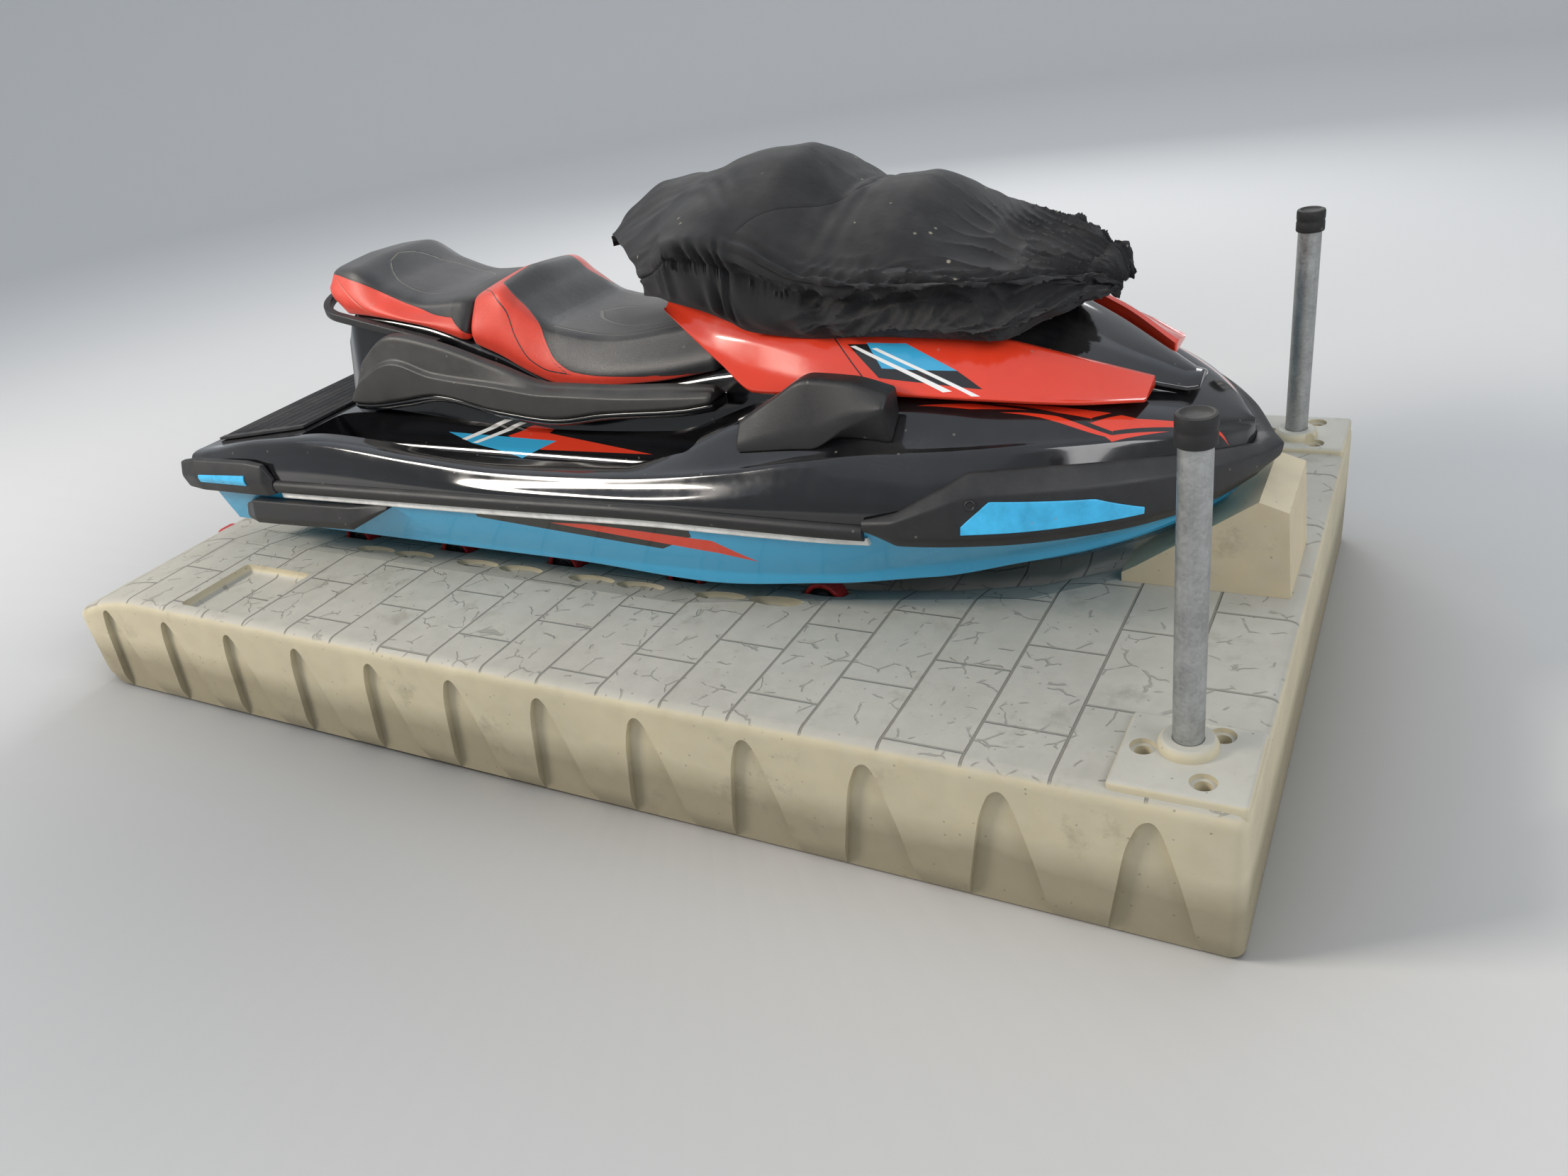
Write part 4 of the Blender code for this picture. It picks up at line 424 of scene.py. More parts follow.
def softened(node, finish, smooth=40):
    """A copy of a CAD node with its corners welded, its flat faces whole and its round faces smooth."""
    source = frame["nodes"][node].data
    points = np.empty(len(source.vertices) * 3)
    source.vertices.foreach_get("co", points)
    corners = np.empty(len(source.loops), int)
    source.loops.foreach_get("vertex_index", corners)
    mesh = bpy.data.meshes.new(node)
    mesh.from_pydata(points.reshape(-1, 3).tolist(), [], corners.reshape(-1, 3).tolist())
    form = bmesh.new()
    form.from_mesh(mesh)
    bmesh.ops.remove_doubles(form, verts=form.verts, dist=2e-5)
    bmesh.ops.dissolve_limit(form, angle_limit=radians(0.5), verts=form.verts, edges=form.edges)
    form.to_mesh(mesh)
    form.free()
    return put(node + "_body", mesh, finish, BODY_OF[node], [node], smooth)


# Finishes: node helpers, shared effects, then one function for each kind of material


class Value:
    """An output socket. Sums, differences, products and quotients with it add Math nodes."""

    def __init__(self, nodes, socket):
        self.nodes, self.socket = nodes, socket

    def __add__(self, other):
        return self.nodes.math("ADD", self, other)

    def __sub__(self, other):
        return self.nodes.math("SUBTRACT", self, other)

    def __rsub__(self, other):
        return self.nodes.math("SUBTRACT", other, self)

    def __mul__(self, other):
        return self.nodes.math("MULTIPLY", self, other)

    def __truediv__(self, other):
        return self.nodes.math("DIVIDE", self, other)

    def __rtruediv__(self, other):
        return self.nodes.math("DIVIDE", other, self)

    def __abs__(self):
        return self.nodes.math("ABSOLUTE", self)


class Outputs:
    """A node's outputs as values, by number or by name."""

    def __init__(self, nodes, sockets):
        self.nodes, self.sockets = nodes, sockets

    def __getitem__(self, key):
        return Value(self.nodes, self.sockets[key])


class Nodes:
    """Adds nodes to a tree, with each input linked or set."""

    def __init__(self, tree):
        self.tree = tree

    def add(self, kind, inputs=None, **settings):
        node = self.tree.nodes.new("ShaderNode" + kind)
        for key, value in settings.items():
            setattr(node, key, value)
        for socket, value in (inputs or {}).items():
            self.join(value, node.inputs[socket])
        return Outputs(self, node.outputs)

    def join(self, value, socket):
        """Links a value to an input, or sets the input. A colour may leave out its alpha."""
        if isinstance(value, Value):
            self.tree.links.new(value.socket, socket)
        else:
            socket.default_value = (*value, 1) if socket.type == "RGBA" else value

    def math(self, operation, *values):
        return self.add("Math", dict(enumerate(values)), operation=operation)[0]

    def vector(self, operation, *values):
        return self.add("VectorMath", dict(enumerate(values)), operation=operation)

    def chain(self, operation, values):
        """The values taken together by an operation, two at a time."""
        first, *rest = values
        for value in rest:
            first = self.math(operation, first, value)
        return first

    def span(self, value, low, high, to_low=0.0, to_high=1.0):
        """A value carried from low..high to to_low..to_high, and held beyond both ends."""
        return self.add("MapRange", {0: value, 1: low, 2: high, 3: to_low, 4: to_high})[0]

    def noise(self, place, scale, detail=3.0, rough=0.55, stretch=None):
        if stretch:
            place = self.vector("MULTIPLY", place, stretch)[0]
        return self.add("TexNoise", {"Vector": place, "Scale": scale, "Detail": detail, "Roughness": rough})[0]

    def cells(self, place, scale, feature="F1"):
        return self.add("TexVoronoi", {"Vector": place, "Scale": scale}, feature=feature)

    def mix(self, share, first, second):
        return self.add("Mix", {0: share, 6: first, 7: second}, data_type="RGBA")[2]

    def use(self, effect, **inputs):
        """Places an effect's node group, with its inputs by name."""
        inputs = {name.replace("_", " "): value for name, value in inputs.items()}
        return self.add("Group", inputs, node_tree=bpy.data.node_groups[effect])

    def split(self, place):
        return self.add("SeparateXYZ", {0: place})

    def joined(self, x, y, z):
        return self.add("CombineXYZ", {0: x, 1: y, 2: z})[0]


def four_sides(nodes, given):
    """How far inside four lines a place (u, v, 1) is: the least of its dot products with them."""
    lines = [given[f"Line {k}"] for k in range(1, 5)]
    return [nodes.chain("MINIMUM", [nodes.vector("DOT_PRODUCT", given["Place"], line)["Value"] for line in lines])]


def mottle(nodes, given):
    """Soft blotches from 0 to 1: two noises, one four times finer than the other, stretched in contrast."""
    coarse = nodes.noise(given["Place"], given["Scale"], 3)
    fine = nodes.noise(given["Place"], given["Scale"] * 4.3, 4)
    return [nodes.span(coarse * 0.65 + fine * 0.35, 0.36, 0.64)]


def specks(nodes, given):
    """Small round marks: places near the middle of a few of the cells of a cell pattern."""
    cells = nodes.cells(given["Place"], given["Scale"])
    pick = nodes.math("LESS_THAN", nodes.split(cells["Color"])[0], given["Share"])
    return [pick * nodes.span(cells["Distance"], 0.10, 0.20, 1, 0)]


def scuffs(nodes, given):
    """Fine long scratches: thin bands where a much stretched noise crosses its middle value."""
    bent = nodes.noise(given["Place"], 3.0, 2)
    place = nodes.vector("ADD", given["Place"], nodes.joined(bent, bent, bent))[0]
    across = abs(nodes.noise(place, given["Scale"], 2, 0.6, (0.12, 1.0, 1.6)) - 0.5)
    patch = nodes.span(nodes.noise(given["Place"], 5.0, 2), 0.56, 0.68)
    return [nodes.span(across, 0.0, 0.012, 1, 0) * patch * given["Amount"]]


def moulded_grain(nodes, given):
    """Height of the fine pebble texture of moulded plastic or vinyl: the rounded tops of small cells."""
    shift = nodes.noise(given["Place"], given["Scale"] * 0.4, 2) * (1.2 / given["Scale"])
    place = nodes.vector("ADD", given["Place"], nodes.joined(shift, shift, shift))[0]
    return [nodes.span(nodes.cells(place, given["Scale"], "SMOOTH_F1")["Distance"], 0.0, 0.7, 1, 0)]


def settled_dust(nodes, given):
    """Dust that lies on faces that point up, more in some blotches than in others."""
    up = nodes.span(nodes.split(given["Normal"])[2], 0.35, 0.95)
    patch = nodes.span(nodes.noise(given["Place"], given["Scale"], 5, 0.65), 0.38, 0.72)
    return [up * patch * given["Amount"]]


def plain_weave(nodes, given):
    """Height of crossed threads: each thread's round top sin^2, over or under by turns like a chequer."""
    u, v, _ = nodes.split(given["Threads"])
    first, second = (nodes.math("SINE", at * pi) for at in (u, v))
    over = nodes.span(first * second, -0.2, 0.2)
    return [first * first * over + second * second * (1.0 - over)]


def stitch_run(nodes, given):
    """Thread of a stitched seam: dashes of a run, 5 mm long with 1.5 mm between, on a line 1.2 mm wide."""
    turn = nodes.math("FRACT", given["Along"] / STITCH_PITCH)
    dash = nodes.span(turn, 0.05, 0.12) * nodes.span(turn, 0.80, 0.87, 1, 0)
    wide = abs(given["Across"])
    return [nodes.span(wide, 0.0007, 0.0011, 1, 0) * dash, nodes.span(wide, 0.0006, 0.0035, 1, 0)]


def paving(nodes, given):
    """Grooves between the port's tiles: a cross line at each row's end, and staggered lines along the rows."""
    x, y, _ = nodes.split(given["Place"])
    row = (x + FLOAT_LENGTH / 2) / TILE_LENGTH
    stagger = nodes.math("FRACT", nodes.math("FLOOR", row) * 0.381) * 0.30
    column = (abs(y) + stagger) / TILE_WIDTH
    cross, lengthways = (abs(nodes.math("FRACT", at) - 0.5) for at in (row, column))
    return [nodes.math("MAXIMUM", nodes.span(cross, 0.478, 0.490), nodes.span(lengthways, 0.486, 0.494) * 0.8)]


def cracked_stone(nodes, given):
    """Broken lines like cracks in stone: the borders of large cells, interrupted by noise."""
    shift = (nodes.noise(given["Place"], 14.0, 3) - 0.5) * 0.05
    place = nodes.vector("ADD", given["Place"], nodes.joined(shift, shift, 0.0))[0]
    border = nodes.cells(place, 11.0, "DISTANCE_TO_EDGE")["Distance"]
    broken = nodes.span(nodes.noise(given["Place"], 16.0, 1), 0.52, 0.57)
    return [nodes.span(border, 0.012, 0.026, 1, 0) * broken * 0.55]


STITCH_PITCH = 0.0065
TILE_LENGTH, TILE_WIDTH = 0.185, 0.31
VECTORS = ("Line 1", "Line 2", "Line 3", "Line 4", "Place", "Normal", "Threads")
EFFECTS = (
    (four_sides, ("Place", *VECTORS[:4]), ("Depth",)),
    (mottle, ("Place", "Scale"), ("Value",)),
    (specks, ("Place", "Scale", "Share"), ("Mask",)),
    (scuffs, ("Place", "Scale", "Amount"), ("Mask",)),
    (moulded_grain, ("Place", "Scale"), ("Height",)),
    (settled_dust, ("Place", "Normal", "Scale", "Amount"), ("Mask",)),
    (plain_weave, ("Threads",), ("Height",)),
    (stitch_run, ("Across", "Along"), ("Thread", "Groove")),
    (paving, ("Place",), ("Groove",)),
    (cracked_stone, ("Place",), ("Line",)),
)


def make_effects():
    """One node group for each effect, named after its function, which returns a value for each output."""
    for build, inputs, outputs in EFFECTS:
        tree = bpy.data.node_groups.new(build.__name__, "ShaderNodeTree")
        for way, names in (("INPUT", inputs), ("OUTPUT", outputs)):
            for name in names:
                kind = "NodeSocketVector" if name in VECTORS else "NodeSocketFloat"
                tree.interface.new_socket(name, in_out=way, socket_type=kind)
        nodes = Nodes(tree)
        given = Outputs(nodes, tree.nodes.new("NodeGroupInput").outputs)
        leave = tree.nodes.new("NodeGroupOutput")
        for value, socket in zip(build(nodes, given), leave.inputs):
            nodes.join(value, socket)


class Finish(Nodes):
    """A material with one Principled shader, whose plain values are set on its own sockets."""

    def __init__(self, name, slot, colour, roughness, **sockets):
        self.material = bpy.data.materials.new(name)
        self.material.use_nodes = True
        self.material["slot"] = slot
        super().__init__(self.material.node_tree)
        self.inputs = self.tree.nodes["Principled BSDF"].inputs
        self.colour = colour
        for socket, value in {"Base Color": colour, "Roughness": roughness, **sockets}.items():
            self.join(value, self.inputs[socket.replace("_", " ")])
        source = self.add("TexCoord")
        self.place, self.normal = source["Object"], source["Normal"]

    def lay(self, mask, paint):
        """Lays a colour over the present one where a mask is 1."""
        self.colour = self.mix(mask, self.colour, paint)

    def show(self, roughness, height=None, depth=0.001):
        """Links the colour and a roughness to the shader, and a height, which depth turns into metres."""
        self.join(self.colour, self.inputs["Base Color"])
        self.join(roughness, self.inputs["Roughness"])
        if height is not None:
            bump = self.add("Bump", {"Strength": 1.0, "Distance": depth, "Height": height})
            self.join(bump["Normal"], self.inputs["Normal"])
        return self.material

    def attribute(self, name):
        return self.add("Attribute", attribute_name=name)["Fac"]

    def pattern(self, effect, **inputs):
        """The first output of an effect at the piece's own place."""
        return self.use(effect, Place=self.place, **inputs)[0]

    def line(self, name, inner, outer):
        """Mask of a line where a measure on the piece is near 0: 1 within inner of it, and 0 beyond outer."""
        return self.span(abs(self.attribute(name)), inner, outer, 1, 0)

    def weather(self, dust=0.10, share=0.05, scuff=0.3):
        """Lays scuffs, specks and settled dust over the colour, and gives where they are."""
        marks = self.pattern("scuffs", Scale=60.0, Amount=scuff)
        spots = self.pattern("specks", Scale=46.0, Share=share)
        film = self.pattern("settled_dust", Normal=self.normal, Scale=5.0, Amount=dust)
        marked = self.chain("MAXIMUM", (marks * 0.35, spots * 0.35, film))
        self.lay(marked, DUST)
        return marked

    def inside(self, place, *shapes):
        """Mask that is 1 inside any of some convex outlines, each a tuple of (u, v) points in order."""
        masks = []
        for points in shapes:
            corners = np.array(points, float)
            edges = np.roll(corners, -1, 0) - corners
            turn = np.sign(np.cross(edges[0], edges[1]))
            inward = turn * np.stack([-edges[:, 1], edges[:, 0]], 1) / np.linalg.norm(edges, axis=1)[:, None]
            lines = np.column_stack([inward, -(inward * corners).sum(1)]).tolist()
            lines += [lines[-1]] * (-len(lines) % 4)
            depths = []
            for k in range(0, len(lines), 4):
                four = {f"Line_{j + 1}": line for j, line in enumerate(lines[k : k + 4])}
                depths.append(self.use("four_sides", Place=place, **four)[0])
            masks.append(self.span(self.chain("MINIMUM", depths), -PAINT_EDGE, PAINT_EDGE))
        return self.chain("MAXIMUM", masks)

    def side_view(self):
        """(x, z, 1): a place on the craft as it is seen from the side."""
        x, _, z = self.split(self.place)
        return self.joined(x, z, 1.0)

    def plan_view(self):
        """(x, |y|, 1): a place on the craft as it is seen from above, the same on both sides."""
        x, y, _ = self.split(self.place)
        return self.joined(x, abs(y), 1.0)


PAINT_EDGE = 0.0003
BLUE = (0.045, 0.40, 0.68)
RED = (0.78, 0.050, 0.018)
WHITE = (0.88, 0.88, 0.86)
BLACK = (0.007, 0.007, 0.008)
WORN_BLACK = (0.016, 0.016, 0.018)
DUST = (0.30, 0.28, 0.24)
GRIME = (0.17, 0.14, 0.085)


def gelcoat(name, slot, colour, roughness=0.10):
    """Gloss gelcoat, and its faint blotches."""
    finish = Finish(name, slot, colour, roughness, IOR=1.5, Coat_Weight=0.5, Coat_Roughness=0.05)
    return finish, finish.pattern("mottle", Scale=9.0)


# Painted shapes, each a group of convex outlines with their corners in order. On the hull's side, in (x, z):
WEDGE = (((-0.247, 0.66), (-0.247, 0.606), (0.355, 0.559), (0.466, 0.615), (0.470, 0.66)),)
STRIP = (
    ((0.015, 0.614), (0.149, 0.623), (0.453, 0.611), (0.524, 0.608), (0.526, 0.565)),
    ((0.524, 0.608), (0.630, 0.544), (0.526, 0.565)),
)
# On the deck's bow, in (x, |y|): red bands, and the black lines in them
BANDS = (
    ((0.986, 0.391), (1.356, 0.278), (1.452, 0.317), (1.187, 0.355)),
    ((1.356, 0.278), (1.487, 0.230), (1.452, 0.317)),
    ((1.487, 0.230), (1.661, 0.107), (1.452, 0.317)),
)
BAND_LINES = (
    ((1.064, 0.394), (1.401, 0.296), (1.401, 0.286), (1.064, 0.386)),
    ((1.401, 0.296), (1.521, 0.176), (1.513, 0.168), (1.401, 0.284)),
    ((1.125, 0.345), (1.448, 0.300), (1.448, 0.290), (1.125, 0.337)),
    ((1.448, 0.300), (1.605, 0.174), (1.597, 0.166), (1.448, 0.288)),
)
# On the footwells' inner walls, in (x, z)
WALL_MARKS = (
    (RED, (((-0.307, 0.736), (-0.223, 0.762), (0.201, 0.709), (-0.195, 0.699)),)),
    (BLUE, (((-0.542, 0.736), (-0.128, 0.730), (-0.260, 0.675), (-0.457, 0.703)),)),
    (WHITE, (
        ((-0.331, 0.774), (-0.300, 0.774), (-0.480, 0.712), (-0.496, 0.716)),
        ((-0.274, 0.769), (-0.250, 0.767), (-0.438, 0.705), (-0.458, 0.706)),
    )),
)
# On the fairings, in (x, z), and the gap between two panels, which is painted black as the shade inside it
FAIRING_MARKS = (
    (BLACK, (
        ((0.850, 1.041), (0.943, 0.979), (1.064, 0.967), (0.973, 1.040)),
        ((0.973, 1.040), (1.064, 0.967), (1.182, 0.953), (1.117, 0.986)),
    )),
    (BLUE, (((0.896, 1.043), (0.945, 0.996), (1.117, 0.986), (0.989, 1.039)),)),
    (WHITE, (
        ((0.858, 1.037), (0.870, 1.038), (1.117, 0.953), (1.098, 0.952)),
        ((0.911, 1.032), (0.923, 1.033), (1.181, 0.943), (1.163, 0.944)),
    )),
)
PANEL_GAP = ((0.803, 1.060), (0.8065, 1.060), (0.9625, 0.935), (0.959, 0.935))


def finish_hull():
    """Sky-blue gelcoat with a black wedge and a red strip under the rail, on both sides."""
    finish, blotches = gelcoat("hull_blue", "hull_blue", BLUE, 0.18)
    view = finish.side_view()
    finish.lay(blotches * 0.10, (0.03, 0.30, 0.56))
    finish.lay(finish.inside(view, *WEDGE), BLACK)
    finish.lay(finish.inside(view, *STRIP), RED)
    marked = finish.weather(0.06, 0.04)
    return finish.show(finish.span(marked + blotches, 0, 1.6, 0.16, 0.36))


def finish_deck():
    """Gloss black with red bands on the bow, and a wedge with two white strokes on each footwell's inner wall."""
    finish, blotches = gelcoat("gloss_black", "gloss_black", BLACK)
    plan, side = finish.plan_view(), finish.side_view()
    wall = finish.span(abs(finish.split(finish.place)[1]), 0.33, 0.34, 1, 0)
    finish.lay(blotches * 0.25, WORN_BLACK)
    finish.lay(finish.inside(plan, *BANDS) * (1.0 - finish.inside(plan, *BAND_LINES)), RED)
    for paint, shapes in WALL_MARKS:
        finish.lay(finish.inside(side, *shapes) * wall, paint)
    marked = finish.weather(0.05, 0.05)
    return finish.show(finish.span(marked + blotches, 0, 1.6, 0.07, 0.26))


def finish_hood():
    """Gloss black with faint blotches and dust."""
    finish, blotches = gelcoat("hood_black", "gloss_black", BLACK)
    finish.lay(blotches * 0.2, WORN_BLACK)
    marked = finish.weather()
    return finish.show(finish.span(marked + blotches, 0, 1.6, 0.06, 0.22))


def finish_fairing():
    """Orange-red with a black patch that holds a blue one and two white strokes, and a panel gap's line of painted
    shade.
    """
    finish, blotches = gelcoat("orange_red", "orange_red", RED, 0.2)
    view = finish.side_view()
    gap = finish.inside(view, PANEL_GAP)
    finish.lay(blotches * 0.16, (0.56, 0.028, 0.012))
    for paint, shapes in FAIRING_MARKS:
        finish.lay(finish.inside(view, *shapes), paint)
    # Painted shade: the panel gap is laid black for the shade inside a gap the skin does not have, and it is also
    # bumped in
    finish.lay(gap, BLACK)
    marked = finish.weather(0.05, 0.03)
    return finish.show(finish.span(marked + blotches, 0, 1.6, 0.15, 0.34), 1.0 - gap, 0.0012)


def moulded(name, slot, colour, roughness=0.55, scale=900.0, dust=0.12):
    """Grained moulded plastic or rubber: pebble bump, worn paler in blotches, with scuffs and dust."""
    finish = Finish(name, slot, colour, roughness, IOR=1.48)
    blotches = finish.pattern("mottle", Scale=14.0)
    grain = finish.pattern("moulded_grain", Scale=scale)
    finish.lay(blotches * 0.55, [value * 1.7 + 0.004 for value in colour])
    marked = finish.weather(dust, 0.06, 0.5)
    rough = finish.span(marked + blotches, 0, 1.8, roughness - 0.10, roughness + 0.14)
    return finish.show(rough, grain, 0.00022)


def finish_vinyl():
    """Grained seat vinyl: black or orange-red by the piece's own tint, with piping and stitching by distance."""
    finish = Finish("vinyl", "vinyl", (0.02, 0.02, 0.021), 0.5, IOR=1.5, Sheen_Weight=0.15)
    tint, deep = (finish.span(finish.attribute(name), -2 * PAINT_EDGE, 2 * PAINT_EDGE) for name in ("tint", "inner"))
    grain = finish.pattern("moulded_grain", Scale=620.0)
    creases = finish.noise(finish.place, 55.0, 4, 0.6)
    blotches = finish.pattern("mottle", Scale=11.0)
    finish.colour = finish.mix(blotches, (0.021, 0.021, 0.022), (0.034, 0.034, 0.035))
    finish.lay(deep, (0.009, 0.009, 0.0095))
    finish.lay(tint, finish.mix(blotches, (0.66, 0.040, 0.016), (0.74, 0.050, 0.020)))
    seam = finish.use("stitch_run", Across=finish.attribute("seam"), Along=finish.attribute("run"))
    piping = finish.line("piping", 0.0014, 0.0019)
    finish.lay(piping, (0.012, 0.012, 0.012))
    finish.lay(seam["Thread"] * 0.7, (0.26, 0.24, 0.15))
    marked = finish.weather(0.16, 0.05, 0.2)
    height = grain * 0.28 + creases * 0.35 + seam["Groove"] * -0.9 + piping * 1.2
    return finish.show(finish.span(marked + grain, 0, 2, 0.40, 0.62), height, 0.0009)


def finish_mat(name, border):
    """Ribbed foam: dark grey, paler in blotches, with a teal line round its edge where border is set."""
    finish = Finish(name, "mat_rubber", (0.02, 0.021, 0.024), 0.8)
    blotches = finish.pattern("mottle", Scale=18.0)
    finish.colour = finish.mix(blotches, (0.016, 0.017, 0.019), (0.035, 0.036, 0.040))
    if border:
        finish.lay(finish.line("edge", 0.0016, 0.0022), (0.02, 0.20, 0.24))
    marked = finish.weather(0.25, 0.12)
    return finish.show(finish.span(marked, 0, 1, 0.72, 0.9), finish.noise(finish.place, 700.0, 2), 0.0003)


def finish_float(name, slot, top, side, paved=False):
    """Rotational-moulded plastic with stains, specks and grime low on the sides. Its top may be paved.

    A paved top has grooves between tiles and lines like cracks in stone. The side colour is painted sunlight or
    shade.
    """
    finish = Finish(name, slot, top, 0.62, IOR=1.45)
    up = finish.span(finish.split(finish.normal)[2], 0.5, 0.8)
    blotches, fine = (finish.pattern("mottle", Scale=scale) for scale in (3.2, 22.0))
    low = finish.span(finish.split(finish.place)[2] + blotches * 0.05, 0.16, 0.25, 1, 0)
    height = fine * 0.2
    # Painted light: faces that do not point up take the side colour, a lit or shaded copy of the top's plastic
    finish.colour = finish.mix(up, side, top)
    finish.lay(blotches * 0.30, (0.30, 0.27, 0.21))
    finish.lay(fine * 0.16, (0.62, 0.59, 0.52))
    finish.lay(low * 0.6, GRIME)
    if paved:
        lines = finish.chain("MAXIMUM", (finish.pattern("paving"), finish.pattern("cracked_stone"))) * up
        finish.lay(lines * 0.66, (0.13, 0.12, 0.095))
        height = height - lines * 2.2
    finish.lay(finish.span(finish.noise(finish.place, 7.0, 6, 0.7), 0.58, 0.72) * 0.35, (0.15, 0.125, 0.085))
    finish.lay(finish.pattern("specks", Scale=60.0, Share=0.10) * 0.5, (0.10, 0.085, 0.06))
    return finish.show(finish.span(fine, 0, 1, 0.52, 0.72), height, 0.0016)


def finish_galvanized():
    """Zinc on steel: faint spangle cells, streaks down the pipe and dull blotches."""
    finish = Finish("galvanized", "galvanized", (0.36, 0.37, 0.37), 0.42, Metallic=0.85)
    spangle = finish.split(finish.cells(finish.place, 160.0)["Color"])[0]
    streaks = finish.noise(finish.place, 60.0, 3, 0.6, (1.0, 1.0, 0.05))
    mask = spangle * 0.25 + streaks * 0.4 + finish.pattern("mottle", Scale=12.0) * 0.45
    finish.colour = finish.mix(mask, (0.22, 0.225, 0.22), (0.52, 0.53, 0.52))
    return finish.show(finish.span(mask, 0, 1, 0.32, 0.58), streaks, 0.0003)


def finish_cloth():
    """Black woven polyester: fine weave, faded and dusty in blotches, with specks of lint, and sewn seams with
    painted shade in their grooves.
    """
    finish = Finish("cloth", "cloth", (0.013, 0.013, 0.014), 0.82, Sheen_Weight=0.08, Sheen_Roughness=0.5)
    threads = finish.vector("MULTIPLY", finish.add("UVMap", uv_map="threads")[0], (900.0, 900.0, 1.0))[0]
    weave = finish.use("plain_weave", Threads=threads)[0]
    wrinkles = finish.noise(finish.place, 38.0, 5, 0.6)
    sewn = finish.chain("MAXIMUM", [
        finish.use("stitch_run", Across=finish.attribute(name), Along=finish.split(threads)[along_axis])["Groove"]
        for name, along_axis in (("seam", 1), ("hem", 0))
    ])
    finish.colour = finish.mix(finish.pattern("mottle", Scale=3.5), (0.006, 0.006, 0.007), (0.015, 0.015, 0.016))
    finish.lay(finish.pattern("settled_dust", Normal=finish.normal, Scale=6.0, Amount=0.10), DUST)
    finish.lay(finish.pattern("specks", Scale=34.0, Share=0.05) * 0.7, (0.42, 0.38, 0.28))
    # Painted shade: the grooves of the seams and the hem are laid darker, as shade falls in them
    finish.lay(sewn * 0.6, (0.003, 0.003, 0.003))
    height = weave * 0.18 + wrinkles * 1.4 + sewn * -0.8
    return finish.show(finish.span(weave, 0, 1, 0.88, 0.74), height, 0.0012)


def finish_metal(name, colour, roughness):
    """Cast or brushed metal with fine pits and dull blotches."""
    finish = Finish(name, name, colour, roughness, Metallic=0.9)
    blotches = finish.pattern("mottle", Scale=25.0)
    finish.lay(blotches * 0.6, [value * 0.6 for value in colour])
    rough = finish.span(blotches, 0, 1, roughness - 0.08, roughness + 0.12)
    return finish.show(rough, finish.noise(finish.place, 500.0, 3), 0.0003)


def finish_roller():
    """Red rim on a black hub, by distance from the roller's own axle."""
    finish = Finish("roller_red", "roller_red", (0.5, 0.035, 0.02), 0.5)
    red = finish.mix(finish.pattern("mottle", Scale=30.0), (0.40, 0.012, 0.014), (0.60, 0.030, 0.026))
    finish.colour = (0.012, 0.012, 0.012)
    finish.lay(finish.span(finish.attribute("rim"), -0.0005, 0.0005), red)
    marked = finish.weather(0.2, 0.1, 0.6)
    return finish.show(finish.span(marked, 0, 1, 0.40, 0.7), finish.noise(finish.place, 600.0, 2), 0.0002)


make_effects()
# Painted warm sunlight on the sides of the float and the pads: a brighter, yellower copy of the top's plastic
SUNLIT_FLOAT_SIDE = (0.60, 0.53, 0.36)
PAINT = {
    "hull": finish_hull(),
    "deck": finish_deck(),
    "hood": finish_hood(),
    "fairing": finish_fairing(),
    "plastic": moulded("matte_black", "matte_black", (0.014, 0.014, 0.0145), 0.5),
    "cover_plastic": moulded("charcoal", "charcoal", (0.030, 0.029, 0.027), 0.48, 700.0),
    "window": moulded("window_blue", "hull_blue", BLUE, 0.35, 900.0, 0.05),
    "line": moulded("white_line", "gloss_black", (0.72, 0.71, 0.68), 0.4, 900.0, 0.05),
    "seat": finish_vinyl(),
    "foot_mat": finish_mat("mat_rubber", True),
    "stern_mat": finish_mat("stern_rubber", False),
    "float": finish_float("float_grey", "float_grey", (0.44, 0.425, 0.37), SUNLIT_FLOAT_SIDE, paved=True),
    "pad": finish_float("pad_grey", "float_grey", (0.50, 0.485, 0.42), SUNLIT_FLOAT_SIDE),
    # The stop's side colour is painted shade: a darker copy of its top's cream
    "stop": finish_float("stop_cream", "stop_cream", (0.70, 0.60, 0.40), (0.66, 0.55, 0.36)),
    "pile": finish_galvanized(),
    "cap": moulded("cap_rubber", "cap_rubber", (0.010, 0.010, 0.010), 0.7, 500.0, 0.3),
    "cloth": finish_cloth(),
    "alloy": finish_metal("cast_alloy", (0.42, 0.42, 0.43), 0.4),
    "steel": finish_metal("steel", (0.5, 0.5, 0.5), 0.3),
    "engine": moulded("engine", "engine", (0.10, 0.10, 0.11), 0.5),
    "roller": finish_roller(),
}


# Sections of the craft's mouldings, for many stations at once


def tray_floor(xs):
    """Where the hull and the deck part: the rail, and half width and height of the lower middle."""
    rail_y, rail_z = read(HULL_ROWS, np.maximum(xs, TRANSOM_X)).T[3:5]
    return rail_y, rail_z, 0.8 * rail_y, rail_z - 0.035 * np.interp(xs, (0.60, 0.90), (1, 0))


def hull_half(xs):
    """Half section of the hull: keel, spray strake, chine flat, upright chine face, side and top."""
    keel, chine_y, lift, _, _, drop = read(HULL_ROWS, xs).T
    rail_y, rail_z, floor_y, floor_z = tray_floor(xs)
    chine_z = keel + chine_y * tan(DEADRISE) + lift
    slope = (chine_z - keel) / chine_y
    out, inner = 0.52 * chine_y, 0.46 * chine_y
    side_y, side_z = 0.55 * chine_y + 0.45 * rail_y, 0.65 * chine_z + 0.35 * rail_z
    return section(
        (0, keel), (inner, keel + slope * inner), (out, keel + slope * inner), (out, keel + slope * out),
        (0.90 * chine_y, chine_z - drop - 0.002), (chine_y, chine_z - drop), (chine_y + 0.006, chine_z),
        (side_y, side_z), (rail_y, rail_z), (floor_y, floor_z), (0, floor_z),
    )


